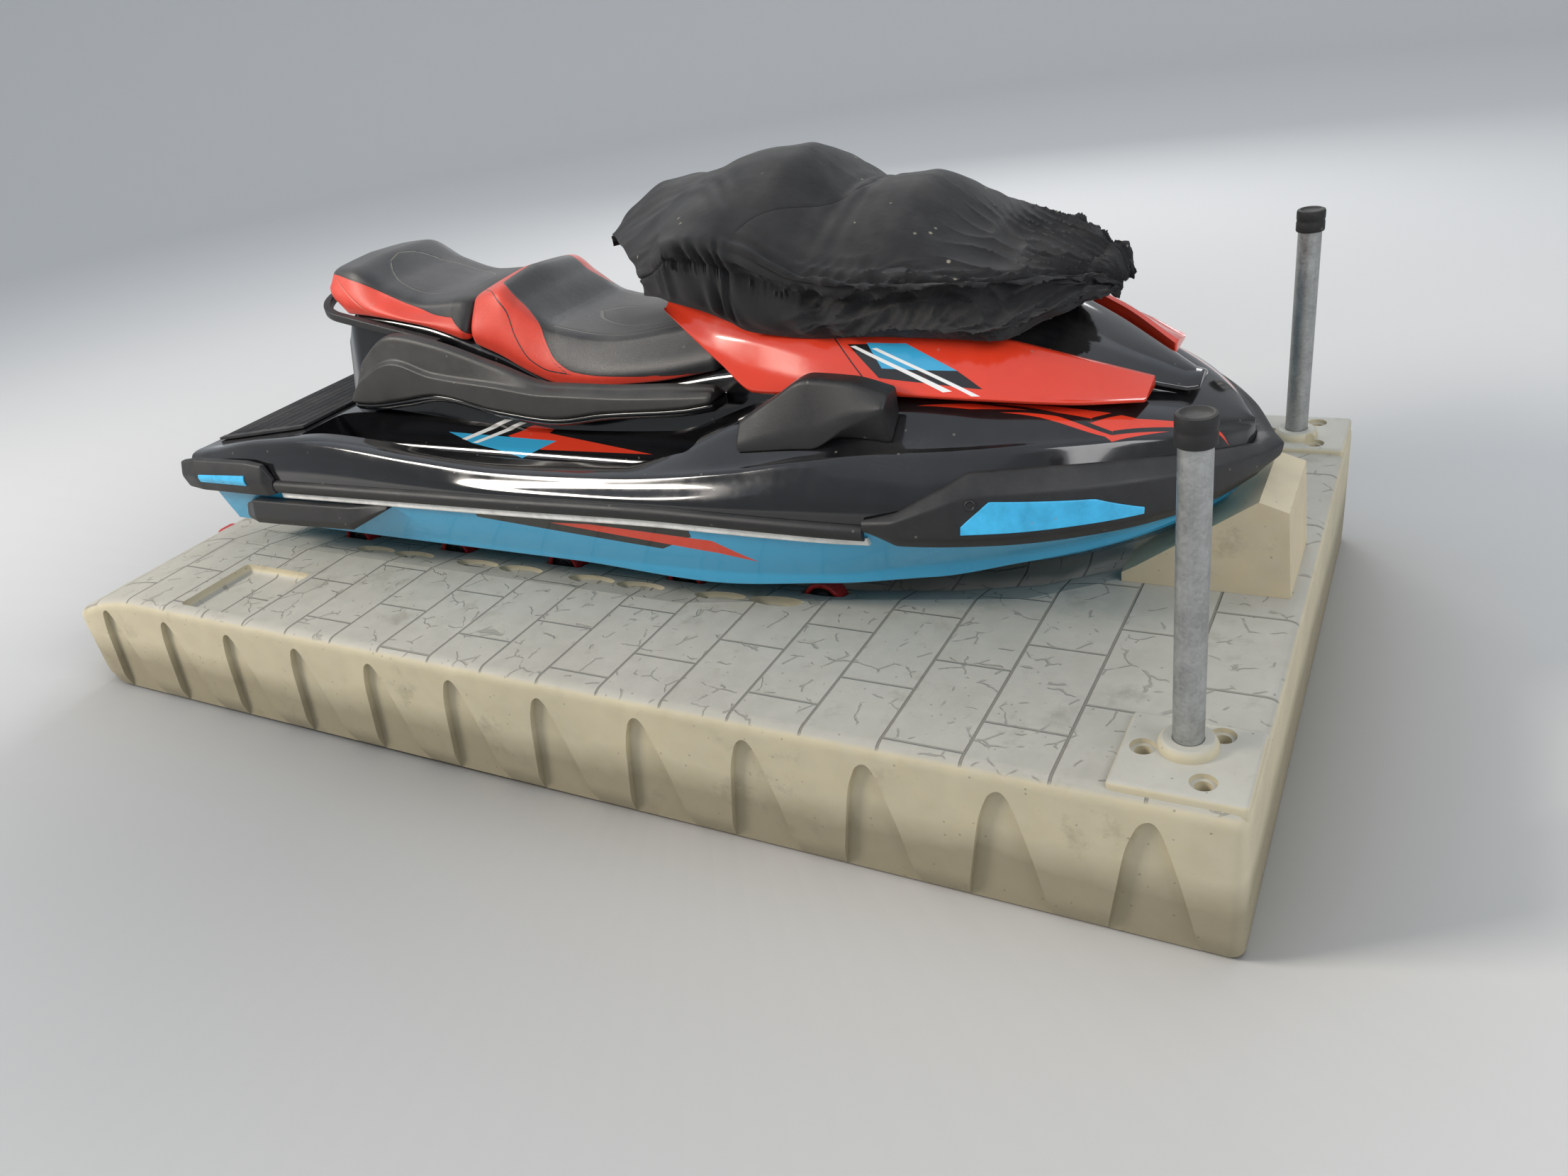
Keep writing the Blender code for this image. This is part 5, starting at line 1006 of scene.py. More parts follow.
def deck_half(xs):
    """Half section of the deck tray: floor, rail, crease, gunwale, inner deck and middle."""
    lean, gun_z, inner_y, inner_z, middle_z = read(DECK_ROWS, xs).T
    rail_y, rail_z, floor_y, floor_z = tray_floor(xs)
    gun_y = rail_y - lean
    return section(
        (0, floor_z + 0.003), (floor_y, floor_z + 0.003), (rail_y, rail_z + 0.0008),
        (rail_y - 0.002, 0.7 * rail_z + 0.3 * gun_z), (gun_y + 0.012, gun_z - 0.030),
        (gun_y - 0.002, gun_z - 0.006), (np.maximum(gun_y - 0.025, inner_y + 0.002), gun_z), (inner_y, inner_z),
        (0.55 * inner_y, 0.35 * inner_z + 0.65 * middle_z), (0, middle_z),
    )


def spine_side(xs, zs):
    """Half width of the spine at heights zs: straight from its foot to its rounded upper edge."""
    foot_y, top_y, top_z = read(SPINE_ROWS, xs).T
    edge_z = top_z - SPINE_EDGE
    return foot_y + (top_y - foot_y) * (np.minimum(zs, edge_z) - SPINE_FOOT) / (edge_z - SPINE_FOOT)


def deck_top(xs, ys):
    """Height of the deck tray at places on it, straight between the points of its section."""
    half = deck_half(np.asarray(xs, float))[:, 5:]
    ys = np.abs(np.broadcast_to(ys, half.shape[:1]))
    height = half[:, 0, 1].copy()
    for first, second in zip(half.transpose(1, 0, 2), half.transpose(1, 0, 2)[1:]):
        share = (first[:, 0] - ys) / np.maximum(first[:, 0] - second[:, 0], 1e-6)
        between = first[:, 1] + share * (second[:, 1] - first[:, 1])
        height = np.where((share >= 0) & (share <= 1.0001), between, height)
    return height


def fairing_half(xs):
    """Section of a fairing: inner top edge, top, knee, mid, lower edge and foot."""
    top_y, top_z, knee_y, knee_z, low_y, low_z = read(FAIRING_ROWS, xs).T
    inner_y = np.maximum(top_y - 0.018, spine_side(xs, top_z) + 0.004)
    foot_y = np.maximum(spine_side(xs, low_z) + 0.004, np.where(xs > 1.2, inner_y, 0))
    foot_z = np.maximum(low_z, deck_top(xs, foot_y) + 0.003)
    low_z = np.maximum(low_z, deck_top(xs, low_y) + 0.003)
    return section(
        (inner_y, top_z - 0.004), (np.maximum(top_y, inner_y + 0.006), top_z), (knee_y, knee_z),
        (0.5 * (knee_y + low_y) + 0.006, 0.5 * (knee_z + low_z)), (low_y, low_z + 0.01), (low_y - 0.008, low_z),
        (foot_y, foot_z),
    )


def eased(xs, sections, radius):
    """Sections whose last stretch at each end draws in along a quarter circle, so that the end has a round edge."""
    reach = np.minimum(xs - xs[0], xs[-1] - xs)
    inset = radius - np.sqrt(np.maximum(radius**2 - np.maximum(radius - reach, 0) ** 2, 0))
    middle = sections.mean(1, keepdims=True)
    arm = sections - middle
    size = np.linalg.norm(arm, axis=2).mean(1)
    return middle + arm * (1 - np.minimum(inset / size, 0.9))[:, None, None]


def end_stations(low, high, radius, step=STEP):
    """Stations from low to high, closer together over a rounded end."""
    bend = radius * (1 - np.cos(np.linspace(0, pi / 2, 7)))
    return np.concatenate([low + bend, along(low + radius, high - radius, step)[1:-1], (high - bend)[::-1]])


# Pieces. Each skin runs through the rings that its section function gives at its stations.


def make_hull():
    """The hull's half section mirrored and run from the transom to the bow, less the jet tunnel and intake duct."""
    xs = along(TRANSOM_X, BOW_X)
    half = rounded(hull_half(xs), (0, 0.004, 0.003, 0.002, 0.006, 0.005, 0.008, 0.06, 0, 0.02, 0))
    tunnel = block((TRANSOM_X - 0.1, -0.165, 0.1), (-1.02, 0.165, 0.515), 0.02)
    duct = block((-1.07, -0.075, 0.1), (-0.66, 0.075, 0.45), 0.03)
    put("hull_skin", carved(skin(xs, mirrored(half)), (CUT, tunnel), (CUT, duct)), "hull", nodes=["hull"])


def make_deck():
    """The deck tray's half section mirrored and run along, with the spine, less two footwells and the bin."""
    xs = along(STERN_X, BOW_X)
    half = rounded(deck_half(xs), (0, 0.02, 0, 0.03, 0.014, 0.008, 0.02, 0.04, 0.12, 0))
    tray = skin(xs, mirrored(half))
    xs = along(-0.99, 1.56)
    foot_y, top_y, top_z = read(SPINE_ROWS, xs).T
    half = section(
        (0, SPINE_FOOT), (foot_y, SPINE_FOOT), (top_y, top_z - SPINE_EDGE), (top_y - 0.02, top_z), (0, top_z)
    )
    spine = skin(xs, mirrored(rounded(half, (0, 0, 0.012, 0.014, 0))))
    wells = [(CUT, block((-1.0, 0.300, 0.672), (0.46, 0.475, 1.2), 0.03, 5, side)) for _, side in SIDES]
    locker = block((0.86, -0.17, 0.70), (1.30, 0.17, 1.2), 0.03, 5)
    put("deck_skin", carved(tray, (JOIN, spine), *wells, (CUT, locker)), "deck", nodes=["deck"])


def make_rails():
    """The rub rails, and the white line that lies on the hull's side under each: profiles run along the rail."""
    xs = along(CAP_FRONT + 0.002, BUMPER_REAR - 0.002)
    side_of_hull = hull_half(xs)
    rail_y, rail_z = side_of_hull[:, 8].T
    slope = (rail_y - side_of_hull[:, 7, 0]) / (rail_z - side_of_hull[:, 7, 1])
    profile = ((0.0, -0.030), (0.010, -0.028), (0.017, -0.014), (0.017, -0.002), (0.010, 0.007), (0.0, 0.009))
    ring = section(*[(rail_y + out, rail_z + up) for out, up in profile])
    put_pair("rub_rail_skin", xs, rounded(ring, (0, 0.004, 0.007, 0.007, 0.005, 0)), "plastic", "rub_rail")
    profile = ((-0.004, -0.054), (0.012, -0.054), (0.014, -0.049), (0.007, -0.0305), (-0.004, -0.0305))
    ring = section(*[(rail_y + out + slope * up, rail_z + up) for out, up in profile])
    put_pair("white_line", xs, rounded(ring, (0, 0.002, 0.002, 0.002, 0)), "line")


def bumper_rings(xs, turn=None):
    """Rings of the bumper at stations on the right side, or round the blunt bow where turn goes from 1 to 0.

    The inner face lies on the deck's side. The outer one stands off along the rail outline's normal in plan.
    """
    half = deck_half(xs)
    rail, crease, under = half[:, 2], half[:, 3], half[:, 4]
    slope = (read(HULL_ROWS, xs)[:, 3] - read(HULL_ROWS, xs - 0.02)[:, 3]) / 0.02
    normal = np.stack([-slope, np.ones_like(slope)], 1) / np.hypot(slope, 1)[:, None]
    share = np.ones_like(xs) if turn is None else turn
    if turn is not None:
        angle = np.arctan2(normal[0, 1], normal[0, 0]) * turn
        normal = np.stack([np.cos(angle) * (1 + 0.55 * (1 - turn)), np.sin(angle)], 1)
    up = np.interp(xs, (BUMPER_REAR, 1.18), (0.5, 1.87))[:, None]
    down = np.interp(xs, (BUMPER_REAR, 1.03), (0.1, 1))
    flank_y, flank_z = (rail + np.minimum(0.6 * up, 1) * (crease - rail)).T
    top = rail + np.minimum(up, 1) * (crease - rail) + np.maximum(up - 1, 0) * (under - crease)
    top_y, top_z = (top + (0.002, 0)).T
    rail_y, rail_z = rail.T
    inner = (
        (rail_y, rail_z - 0.034 * down), (rail_y, rail_z + 0.001), (flank_y + 0.004, flank_z), (top_y + 0.004, top_z)
    )
    outer = (
        (0.018, top_y, top_z + 0.003), (0.042, 0.5 * (flank_y + top_y), 0.45 * flank_z + 0.55 * top_z),
        (0.038, rail_y, rail_z - 0.004 * down), (0.012, rail_y, rail_z - 0.036 * down),
    )
    rings = [(xs, share * y, z) for y, z in inner]
    for out, base, z in outer:
        step = (0.4 + 0.6 * down) * out
        rings.append((xs + normal[:, 0] * step, share * base + normal[:, 1] * step, z))
    return np.stack([np.stack(point, -1) for point in rings], 1) * (1, -1, 1)


def make_bumper():
    """The bumper's rings down the right side, round the bow and back, with a window and a screw on each side.

    A window is a thin plate on the bumper's outer face, at shares low to high of the way from its lower edge up.
    """
    xs = along(BUMPER_REAR, BOW_X)
    nose = np.linspace(1, 0, 9)[1:]
    right = np.concatenate([bumper_rings(xs), bumper_rings(np.full(8, BOW_X), nose)])
    grid = np.concatenate([right, right[-2::-1] * (1, -1, 1)])
    grid = rounded(grid, (0, 0, 0, 0.004, 0.008, 0.007, 0.010, 0.006), 3)
    put("bumper_skin", surface("bumper", grid, around=True, ends=True), "plastic", nodes=["bow_bumper"])
    xs = along(1.17, 1.505, 0.006)
    rings = bumper_rings(xs)
    low = np.full_like(xs, 0.12)[:, None]
    high = np.interp(xs, (1.17, 1.225, 1.42, 1.505), (0.32, 0.86, 0.70, 0.30))[:, None]
    bottom, top = rings[:, 6], rings[:, 5]
    across = np.cross(np.gradient(bottom, axis=0), top - bottom)
    across *= (np.sign(across[:, 1]) * -1)[:, None] / np.linalg.norm(across, axis=1, keepdims=True)
    corners = [(low, -0.001), (low, 0.003), (high, 0.003), (high, -0.001)]
    ring = np.stack([bottom + share * (top - bottom) + out * across for share, out in corners], 1)
    ring = rounded(ring, (0, 0.003, 0.003, 0))
    place = Vector(bottom[3] + 0.80 * (top[3] - bottom[3]) + 0.001 * across[3])
    turn = Vector(across[3]).to_track_quat("Z", "Y").to_matrix().to_4x4()
    head = ((0.0, -0.002), (0.0125, -0.002), (0.0125, 0.002), (0.010, 0.0035), (0.0075, 0.001), (0.0, 0.001))
    for name, side in SIDES:
        window = surface("window", ring * (1, -side, 1), around=True, ends=True)
        put("bumper_window_" + name, window, "window", nodes=["bumper_insert_" + name])
        screw = moved(turned(head), turn, Matrix.Translation(place), Matrix.Diagonal((1, -side, 1, 1)))
        put("bumper_screw_" + name, welded(screw), "plastic")


def make_stern_caps():
    """Angular caps on the rail at the stern, with a window plate that follows their bent face 3 mm off it."""
    rows = np.array((
        (STERN_X + 0.005, 0.004, 0.625, 0.670), (-1.50, 0.030, 0.603, 0.692), (TRANSOM_X, 0.044, 0.600, 0.705),
        (-1.15, 0.040, 0.610, 0.718), (-1.08, 0.032, 0.612, 0.712), (CAP_FRONT, 0.020, 0.620, 0.665),
    ))
    xs = along(STERN_X + 0.005, CAP_FRONT, 0.006)
    out, low, high = (np.interp(xs, rows[:, 0], column) for column in rows.T[1:])
    rail_y = tray_floor(xs)[0] + 0.001
    ring = section(
        (rail_y, low), (rail_y + out * 0.6, low), (rail_y + out, 0.5 * (low + high)), (rail_y + out * 0.5, high),
        (rail_y, high),
    )
    put_pair("stern_cap_skin", xs, rounded(ring, (0, 0.005, 0.010, 0.006, 0)), "plastic", "stern_cap")
    rear, front = -1.395, -1.15
    near = (xs > rear) & (xs < front)
    at = xs[near]
    below, above = (np.interp(at, (rear, front), ends) for ends in ((0.638, 0.648), (0.663, 0.681)))
    edge, lower, upper = ring[near][:, 2], ring[near][:, 1], ring[near][:, 3]
    below_y = edge[:, 0] + (lower[:, 0] - edge[:, 0]) * (edge[:, 1] - below) / (edge[:, 1] - lower[:, 1])
    above_y = edge[:, 0] + (upper[:, 0] - edge[:, 0]) * (above - edge[:, 1]) / (upper[:, 1] - edge[:, 1])
    plate = section(
        (below_y - 0.002, below), (below_y + 0.003, below), (edge[:, 0] + 0.003, edge[:, 1]),
        (above_y + 0.003, above), (above_y - 0.002, above),
    )
    put_pair("cap_window", at, rounded(plate, (0, 0.001, 0.006, 0.001, 0)), "window")


def make_sponsons():
    """Boxes on the hull's sides, drawn out to a slanted point in front, with four upright slots."""
    corners = (-1.27, -1.20, -0.74, -0.58)
    xs = np.sort(np.concatenate([end_stations(-1.27, -0.58, 0.004), corners[1:3]]))
    low = np.interp(xs, corners, (0.500, 0.503, 0.531, 0.606))
    high = np.interp(xs, corners, (0.552, 0.580, 0.603, 0.618))
    out = np.interp(xs, corners, (0.028, 0.042, 0.042, 0.020))
    outline = hull_half(xs)[:, 5:9]
    wall = []
    for z in (high, 0.5 * (low + high), low):
        near = [np.interp(at, line[:, 1], line[:, 0]) for at, line in zip(z, outline)]
        wall.append(np.array(near) + 0.0016)
    face = np.maximum.reduce(wall) + out
    ring = section(
        (wall[0], high), (wall[1], 0.5 * (low + high)), (wall[2], low), (face - 0.006, low),
        (face, 0.7 * low + 0.3 * high), (face - 0.012, high),
    )
    ring = rounded(ring, (0, 0, 0, 0.004, 0.006, 0.006))
    for name, side in SIDES:
        slots = [
            (CUT, block((x - 0.007, 0.604, 0.535), (x + 0.007, 0.70, 0.64), 0.003, side=side))
            for x in (-1.14, -1.03, -0.90, -0.79)
        ]
        put("sponson_skin_" + name, carved(skin(xs, ring, side), *slots), "plastic", nodes=["sponson_" + name])


def make_side_covers():
    """Covers between the footwells and the seats: a box section with an embossed line, over a gloss rim."""
    xs = end_stations(-0.88, 0.45, 0.012, 0.008)
    top, low, out, line = read(SIDE_COVER_ROWS, xs).T
    wall = spine_side(xs, low) + 0.001
    ring = section(
        (wall, low), (out - 0.008, low), (out, low + 0.008), (out - 0.004, line), (out - 0.018, line + 0.010),
        (out - 0.030, top - 0.008), (out - 0.038, top), (0.292, top),
    )
    ring = eased(xs, rounded(ring, (0, 0.005, 0.005, 0.004, 0.005, 0.008, 0.008, 0)), 0.012)
    put_pair("side_cover_skin", xs, ring, "cover_plastic", "side_cover")
    rim = section(
        (wall - 0.004, low - 0.030), (out - 0.022, low - 0.026), (out - 0.006, low - 0.010),
        (out - 0.008, low - 0.001), (wall - 0.004, low - 0.001),
    )
    put_pair("wall_rim", xs, eased(xs, rounded(rim, (0, 0.008, 0.010, 0.003, 0)), 0.012), "hood")


def seat_grid(rows, round_end):
    """Crowned seat: each section leans in from the foot to a soft shoulder and domes over the middle."""
    xs = end_stations(rows[0][0], rows[-1][0], round_end, 0.007)
    foot_y, top_y, foot_z, top_z, middle_z = read(rows, xs).T
    foot_z = np.maximum(foot_z, read(SPINE_ROWS, xs)[:, 2] + 0.001)
    half = section(
        (0, foot_z), (foot_y, foot_z), (foot_y + 0.006, foot_z + 0.3 * (top_z - foot_z)),
        (top_y + 0.02, top_z - 0.025), (top_y, top_z), (0.5 * top_y, 0.4 * top_z + 0.6 * middle_z), (0, middle_z),
    )
    ring = mirrored(rounded(half, (0, 0.008, 0.05, 0.05, 0.035, 0.12, 0), 9))
    return lofted(xs, eased(xs, ring, round_end))


def border_of(rows, xs):
    """Height of a border line at xs, and how steep it is."""
    height = read(rows, xs)[:, 0]
    slope = (read(rows, xs + 0.002)[:, 0] - height) / 0.002
    return height, np.hypot(1, slope)


def ellipse(x, y, middle, half_length, half_width):
    """How far places lie outside an ellipse about (middle, 0), measured across it."""
    return (np.hypot((x - middle) / half_length, y / half_width) - 1) * half_width


# Lower borders of the seats' black tops against their red sides: station x, height z
FRONT_BORDER = (
    (-0.262, 1.230), (-0.250, 1.170), (-0.228, 1.124), (-0.188, 1.078), (-0.160, 1.010), (-0.113, 0.947),
    (-0.047, 0.918), (0.045, 0.911), (0.236, 0.915), (0.42, 0.928),
)
REAR_BORDER = (
    (-1.05, 1.168), (-0.96, 1.184), (-0.93, 1.182), (-0.857, 1.169), (-0.762, 1.131), (-0.649, 1.092),
    (-0.544, 1.070), (-0.43, 1.058),
)


def point_values(mesh, **values):
    """Writes one number a vertex, under each name."""
    for name, numbers in values.items():
        made = mesh.attributes.new(name, "FLOAT", "POINT")
        made.data.foreach_set("value", np.asarray(numbers, np.float32))


def places(mesh):
    """The mesh's points as three arrays."""
    points = np.empty(len(mesh.vertices) * 3)
    mesh.vertices.foreach_get("co", points)
    return points.reshape(-1, 3).T


def make_seats():
    """The seats' crowned forms, with measures at each point that the vinyl turns into colours, piping and seams.

    tint is above 0 on red vinyl, inner on the deeper black panel. piping and seam are distances from their
    lines, and run is the way along a seam. A measure of 1 lies far from any line.
    """
    mesh = surface("front_seat", seat_grid(FRONT_SEAT_ROWS, 0.02), around=True, ends=True)
    x, y, z = places(mesh)
    back = 0.085 * smooth_step(0.205, 0.13, np.abs(y)) * smooth_step(0.0, -0.1, x)
    edge, steep = border_of(FRONT_BORDER, x + back)
    tint = (edge - z) / steep
    second, steep_second = border_of(FRONT_BORDER, x + back + 0.085)
    piping = np.where(np.abs(tint) < 0.01, tint, np.where(x < 0.02, (second - z) / steep_second, 1))
    inner = np.where(tint < 0, -0.125 - 0.6 * back + 0.06 * smooth_step(0.98, 0.92, z) - x, -1)
    shoulder = np.abs(y) - 0.168 + 0.04 * smooth_step(0.1, 0.42, x)
    sewn_oval = ellipse(x, y, 0.20, 0.30, 0.105)
    nearer = np.where(np.abs(sewn_oval) < np.abs(shoulder), sewn_oval, shoulder)
    seam = np.where((tint < 0) & (inner < 0), nearer, 1)
    point_values(mesh, tint=tint, piping=piping, inner=inner, seam=seam, run=x)
    put("front_seat_pad", mesh, "seat", nodes=["front_seat"], smooth=50)
    mesh = surface("rear_seat", seat_grid(REAR_SEAT_ROWS, 0.02), around=True, ends=True)
    x, y, z = places(mesh)
    edge, steep = border_of(REAR_BORDER, x)
    band = -0.50 + 0.075 * smooth_step(1.09, 1.0, z) - x
    tint = np.minimum((edge - z) / steep, band)
    piping = np.where(np.abs(tint) < 0.01, tint, 1)
    on_top = np.where(x < -0.86, 1, ellipse(x, y, -0.68, 0.17, 0.125))
    seam = np.where(tint < 0, on_top, (x + 0.80 + 1.6 * (z - 1.08)) * 0.5)
    point_values(mesh, tint=tint, piping=piping, inner=band * -1, seam=seam, run=x + z)
    put("rear_seat_pad", mesh, "seat", nodes=["rear_seat"], smooth=50)


def make_grab_rail():
    """A flat bar carried round the rear seat: straight sides and half an ellipse, rising to the stern, on two stays.

    Its ring at each place is p + u n + v b, where n lies level across the path and b is up.
    """
    start_x, turn_x, half_y, rise = -0.52, -0.90, 0.2555, 0.20
    angle = np.linspace(pi / 2, 3 * pi / 2, 49)
    arc = np.stack([turn_x + 0.165 * np.cos(angle), half_y * np.sin(angle)], 1)
    straight = along(start_x, turn_x, -0.02)[:-1]
    start = np.stack([straight, np.full_like(straight, half_y)], 1)
    plan = np.concatenate([start, arc, start[::-1] * (1, -1)])
    path = np.column_stack([plan, 0.9975 - rise * (plan[:, 0] - start_x)])
    corners = np.array([[(-0.0125, -0.0115), (0.0125, -0.0125), (0.0125, 0.0125), (-0.0125, 0.0125)]])
    outline = rounded(corners, (0.005,) * 4)[0]
    ahead = np.gradient(path, axis=0)
    ahead /= np.linalg.norm(ahead, axis=1, keepdims=True)
    level = np.cross(ahead, (0, 0, 1))
    level /= np.linalg.norm(level, axis=1, keepdims=True)
    up = np.cross(level, ahead)
    grid = path[:, None] + outline[None, :, :1] * level[:, None] + outline[None, :, 1:] * up[:, None]
    rail = surface("grab_rail", grid, around=True, ends=True)
    stays = [(JOIN, block((-0.64, 0.238, 0.99), (-0.60, 0.255, 1.02), 0.003, side=side)) for _, side in SIDES]
    put("grab_rail_skin", carved(rail, *stays), "plastic", nodes=["grab_rail"])


def make_fairings():
    """The fairings' own section, run from the dash to the bow with round ends."""
    xs = end_stations(0.33, 1.50, 0.006, 0.010)
    ring = eased(xs, rounded(fairing_half(xs), (0, 0.006, 0.008, 0.012, 0.006, 0.004, 0)), 0.006)
    put_pair("fairing_skin", xs, ring, "fairing", "fairing")


def make_guards():
    """Boxes at the front of the footwells: a foot that follows the deck, an outer edge that lifts, and a flat top."""
    xs = end_stations(0.60, 1.00, 0.010, 0.008)
    lift, top = read(GUARD_ROWS, xs).T
    inner_y = np.maximum(GUARD_INNER + 0.01, deck_half(xs)[:, 7, 0])
    foot = [(y, deck_top(xs, y) + 0.001) for y in (GUARD_INNER, inner_y, GUARD_OUTER - 0.03)]
    edge = deck_top(xs, GUARD_OUTER) + 0.003 + lift
    ring = section(
        *foot, (GUARD_OUTER, edge), (GUARD_OUTER, 0.7 * edge + 0.3 * top), (GUARD_OUTER - 0.03, top),
        (GUARD_INNER, top),
    )
    ring = eased(xs, rounded(ring, (0.004, 0, 0.006, 0.006, 0.014, 0.012, 0.010)), 0.010)
    put_pair("guard_skin", xs, ring, "plastic", "footwell_guard")


def make_hood():
    """The bin's lid: a plate just above the deck and the spine, crowned by 0.21 of its half width."""
    front, fairing_end = 1.585, 1.50
    xs = end_stations(0.80, front, 0.006, 0.010)
    edge = fairing_half(np.minimum(xs, fairing_end))[:, 0, 0]
    past_end = np.interp(xs, (fairing_end, front), (edge[xs <= fairing_end][-1], 0.055))
    half_y = np.where(xs > fairing_end, past_end, edge) - 0.006
    low = np.maximum.reduce([read(SPINE_ROWS, xs)[:, 2], deck_top(xs, 0), deck_top(xs, half_y)]) + 0.0008
    crown = 0.21 * half_y
    half = section(
        (0, low), (half_y, low), (half_y + 0.001, low + 0.010), (0.6 * half_y, low + 0.014 + 0.7 * crown),
        (0, low + 0.018 + crown),
    )
    ring = eased(xs, mirrored(rounded(half, (0, 0.002, 0.005, 0.012, 0))), 0.006)
    put("hood_skin", skin(xs, ring), "hood", "hood", ["hood"])


def ribs(xs):
    """Depth below the top of a row of ribs: a flat-topped wave across x."""
    turn = (xs / RIB_PITCH) % 1
    return RIB_DEPTH * smooth_step(0.30, 0.42, turn) * smooth_step(1.0, 0.88, turn)


def make_mats():
    """Foot mats with a flat border round their ribs, and a stern mat of ribs that follows the deck."""
    xs = along(-0.965, 0.425, 0.0014)
    low, high = 0.332, 0.443
    base, top, border = 0.6724, 0.680, 0.010
    inside_border = [smooth_step(0, 0.004, depth - 0.012) for depth in (xs - xs[0], xs[-1] - xs)]
    rib_top = top - ribs(xs) * inside_border[0] * inside_border[1]
    ring = section(
        (low, base), (high, base), (high, top - 0.001), (high - 0.002, top), (high - border, top),
        (high - border - 0.001, rib_top), (low + border + 0.001, rib_top), (low + border, top), (low + 0.002, top),
        (low, top - 0.001),
    )
    for name, side in SIDES:
        mesh = skin(xs, ring, side)
        _, y, _ = places(mesh)
        point_values(mesh, edge=np.minimum(np.abs(y) - low, high - np.abs(y)) - 0.006)
        put("foot_mat_skin_" + name, mesh, "foot_mat", nodes=["foot_mat_" + name], smooth=25)
    xs = along(STERN_X + 0.025, CAP_FRONT - 0.01, 0.0016)
    ys = (0, 0.375, 0.377, 0.40)
    thickness = [0.008 - ribs(xs)] * 2 + [0.008 + 0 * xs] * 2
    low = [(y, deck_top(xs, y) + 0.0008 + 0.006 * y) for y in ys]
    half = section(*low, *[(y, z + rise) for (y, z), rise in list(zip(low, thickness))[::-1]])
    put("stern_mat_skin", skin(xs, mirrored(half)), "stern_mat", nodes=["stern_mat"], smooth=25)


def ripples(u, v, count, low, high, turn, spread, seed):
    """Sum of waves a sin(2 pi (u cos b + v sin b) / w + p), with w from low to high and b near turn.

    The places are bent first by two slow waves, so that no crease runs straight.
    """
    chance = np.random.default_rng(seed)
    bent_u = u + 0.020 * np.sin(11 * v + 3 * np.sin(7 * u + seed))
    bent_v = v + 0.016 * np.sin(13 * u + 2 * np.sin(9 * v + 2 * seed))
    total = np.zeros_like(u)
    for _ in range(count):
        length, angle, start = chance.uniform(low, high), turn + chance.normal(0, spread), chance.uniform(0, 2 * pi)
        total += np.sin(2 * pi * (bent_u * cos(angle) + bent_v * sin(angle)) / length + start) / np.sqrt(count)
    return total


def creased(wave, sharp=2.5):
    """Folds of cloth from a wave between about -1.5 and 1.5: round crests with narrow valleys between them."""
    return 1 - np.abs(np.sin(0.5 * pi * np.clip(wave, -1.4, 1.4) / 1.4)) ** (1 / sharp) * 2


def cover_grid():
    """Places of the cloth before it is wrinkled, with how far each lies along it and across it.

    Each section runs hem, elastic, tuck, fold, shoulder, top and back down the other side. Ahead of the last row
    the sections draw together and sink, which makes the rolled front end.
    """
    rolled = 18
    xs = np.concatenate([along(0.02, 1.35, 0.0055), np.full(rolled, 1.35)])
    past = np.concatenate([np.zeros(len(xs) - rolled), np.linspace(0, 1, rolled + 1)[1:]])
    skew, top, fold_y, fold_z, tie_y, tie_z, hem_y, hem_z = read(COVER_ROWS, xs).T
    tuck = 0.034 + 0.041 * smooth_step(0.58, 0.74, xs)
    tuck *= smooth_step(0.10, 0.30, xs) * (1 - 0.6 * smooth_step(1.0, 1.3, xs))
    half = section(
        (hem_y, hem_z), (tie_y - 0.006, 0.5 * (tie_z + hem_z)), (tie_y, tie_z),
        (fold_y - tuck, fold_z - 0.5 * (fold_z - tie_z)), (fold_y, fold_z),
        (0.62 * fold_y, fold_z + 0.60 * (top - fold_z)), (0.20 * fold_y, top - 0.006), (0, top),
    )
    half = rounded(half, (0, 0.02, 0.03, 0.05, 0.032, 0.14, 0.05, 0), 9)
    reach = np.concatenate([[0], np.cumsum(np.linalg.norm(np.diff(half.mean(0), axis=0), axis=1))])
    even = np.linspace(0, reach[-1], 150)
    half = np.stack([[np.interp(even, reach, ring[:, k]) for k in (0, 1)] for ring in half]).transpose(0, 2, 1)
    whole = np.concatenate([half * (-1, 1), half[:, -2::-1]], 1)
    turn = past * 1.9
    centre = hem_z + 0.45 * (top - hem_z)
    shrink = np.cos(np.minimum(turn, 1.45))[:, None]
    drop = (0.030 * (1 - np.cos(turn)) - 0.006)[:, None] * (past > 0)[:, None]
    y = whole[:, :, 0] * (0.35 + 0.65 * shrink)
    z = centre[:, None] + (whole[:, :, 1] - centre[:, None]) * shrink - drop
    x = xs[:, None] + 0.052 * np.sin(turn)[:, None] - skew[:, None] * whole[:, :, 0]
    v = np.concatenate([even, 2 * even[-1] - even[-2::-1]])[None, :] + 0 * x
    u = xs[:, None] + 0.08 * past[:, None] + 0 * x
    return np.stack([x, y, z], -1), u, v - even[-1], even[-1]


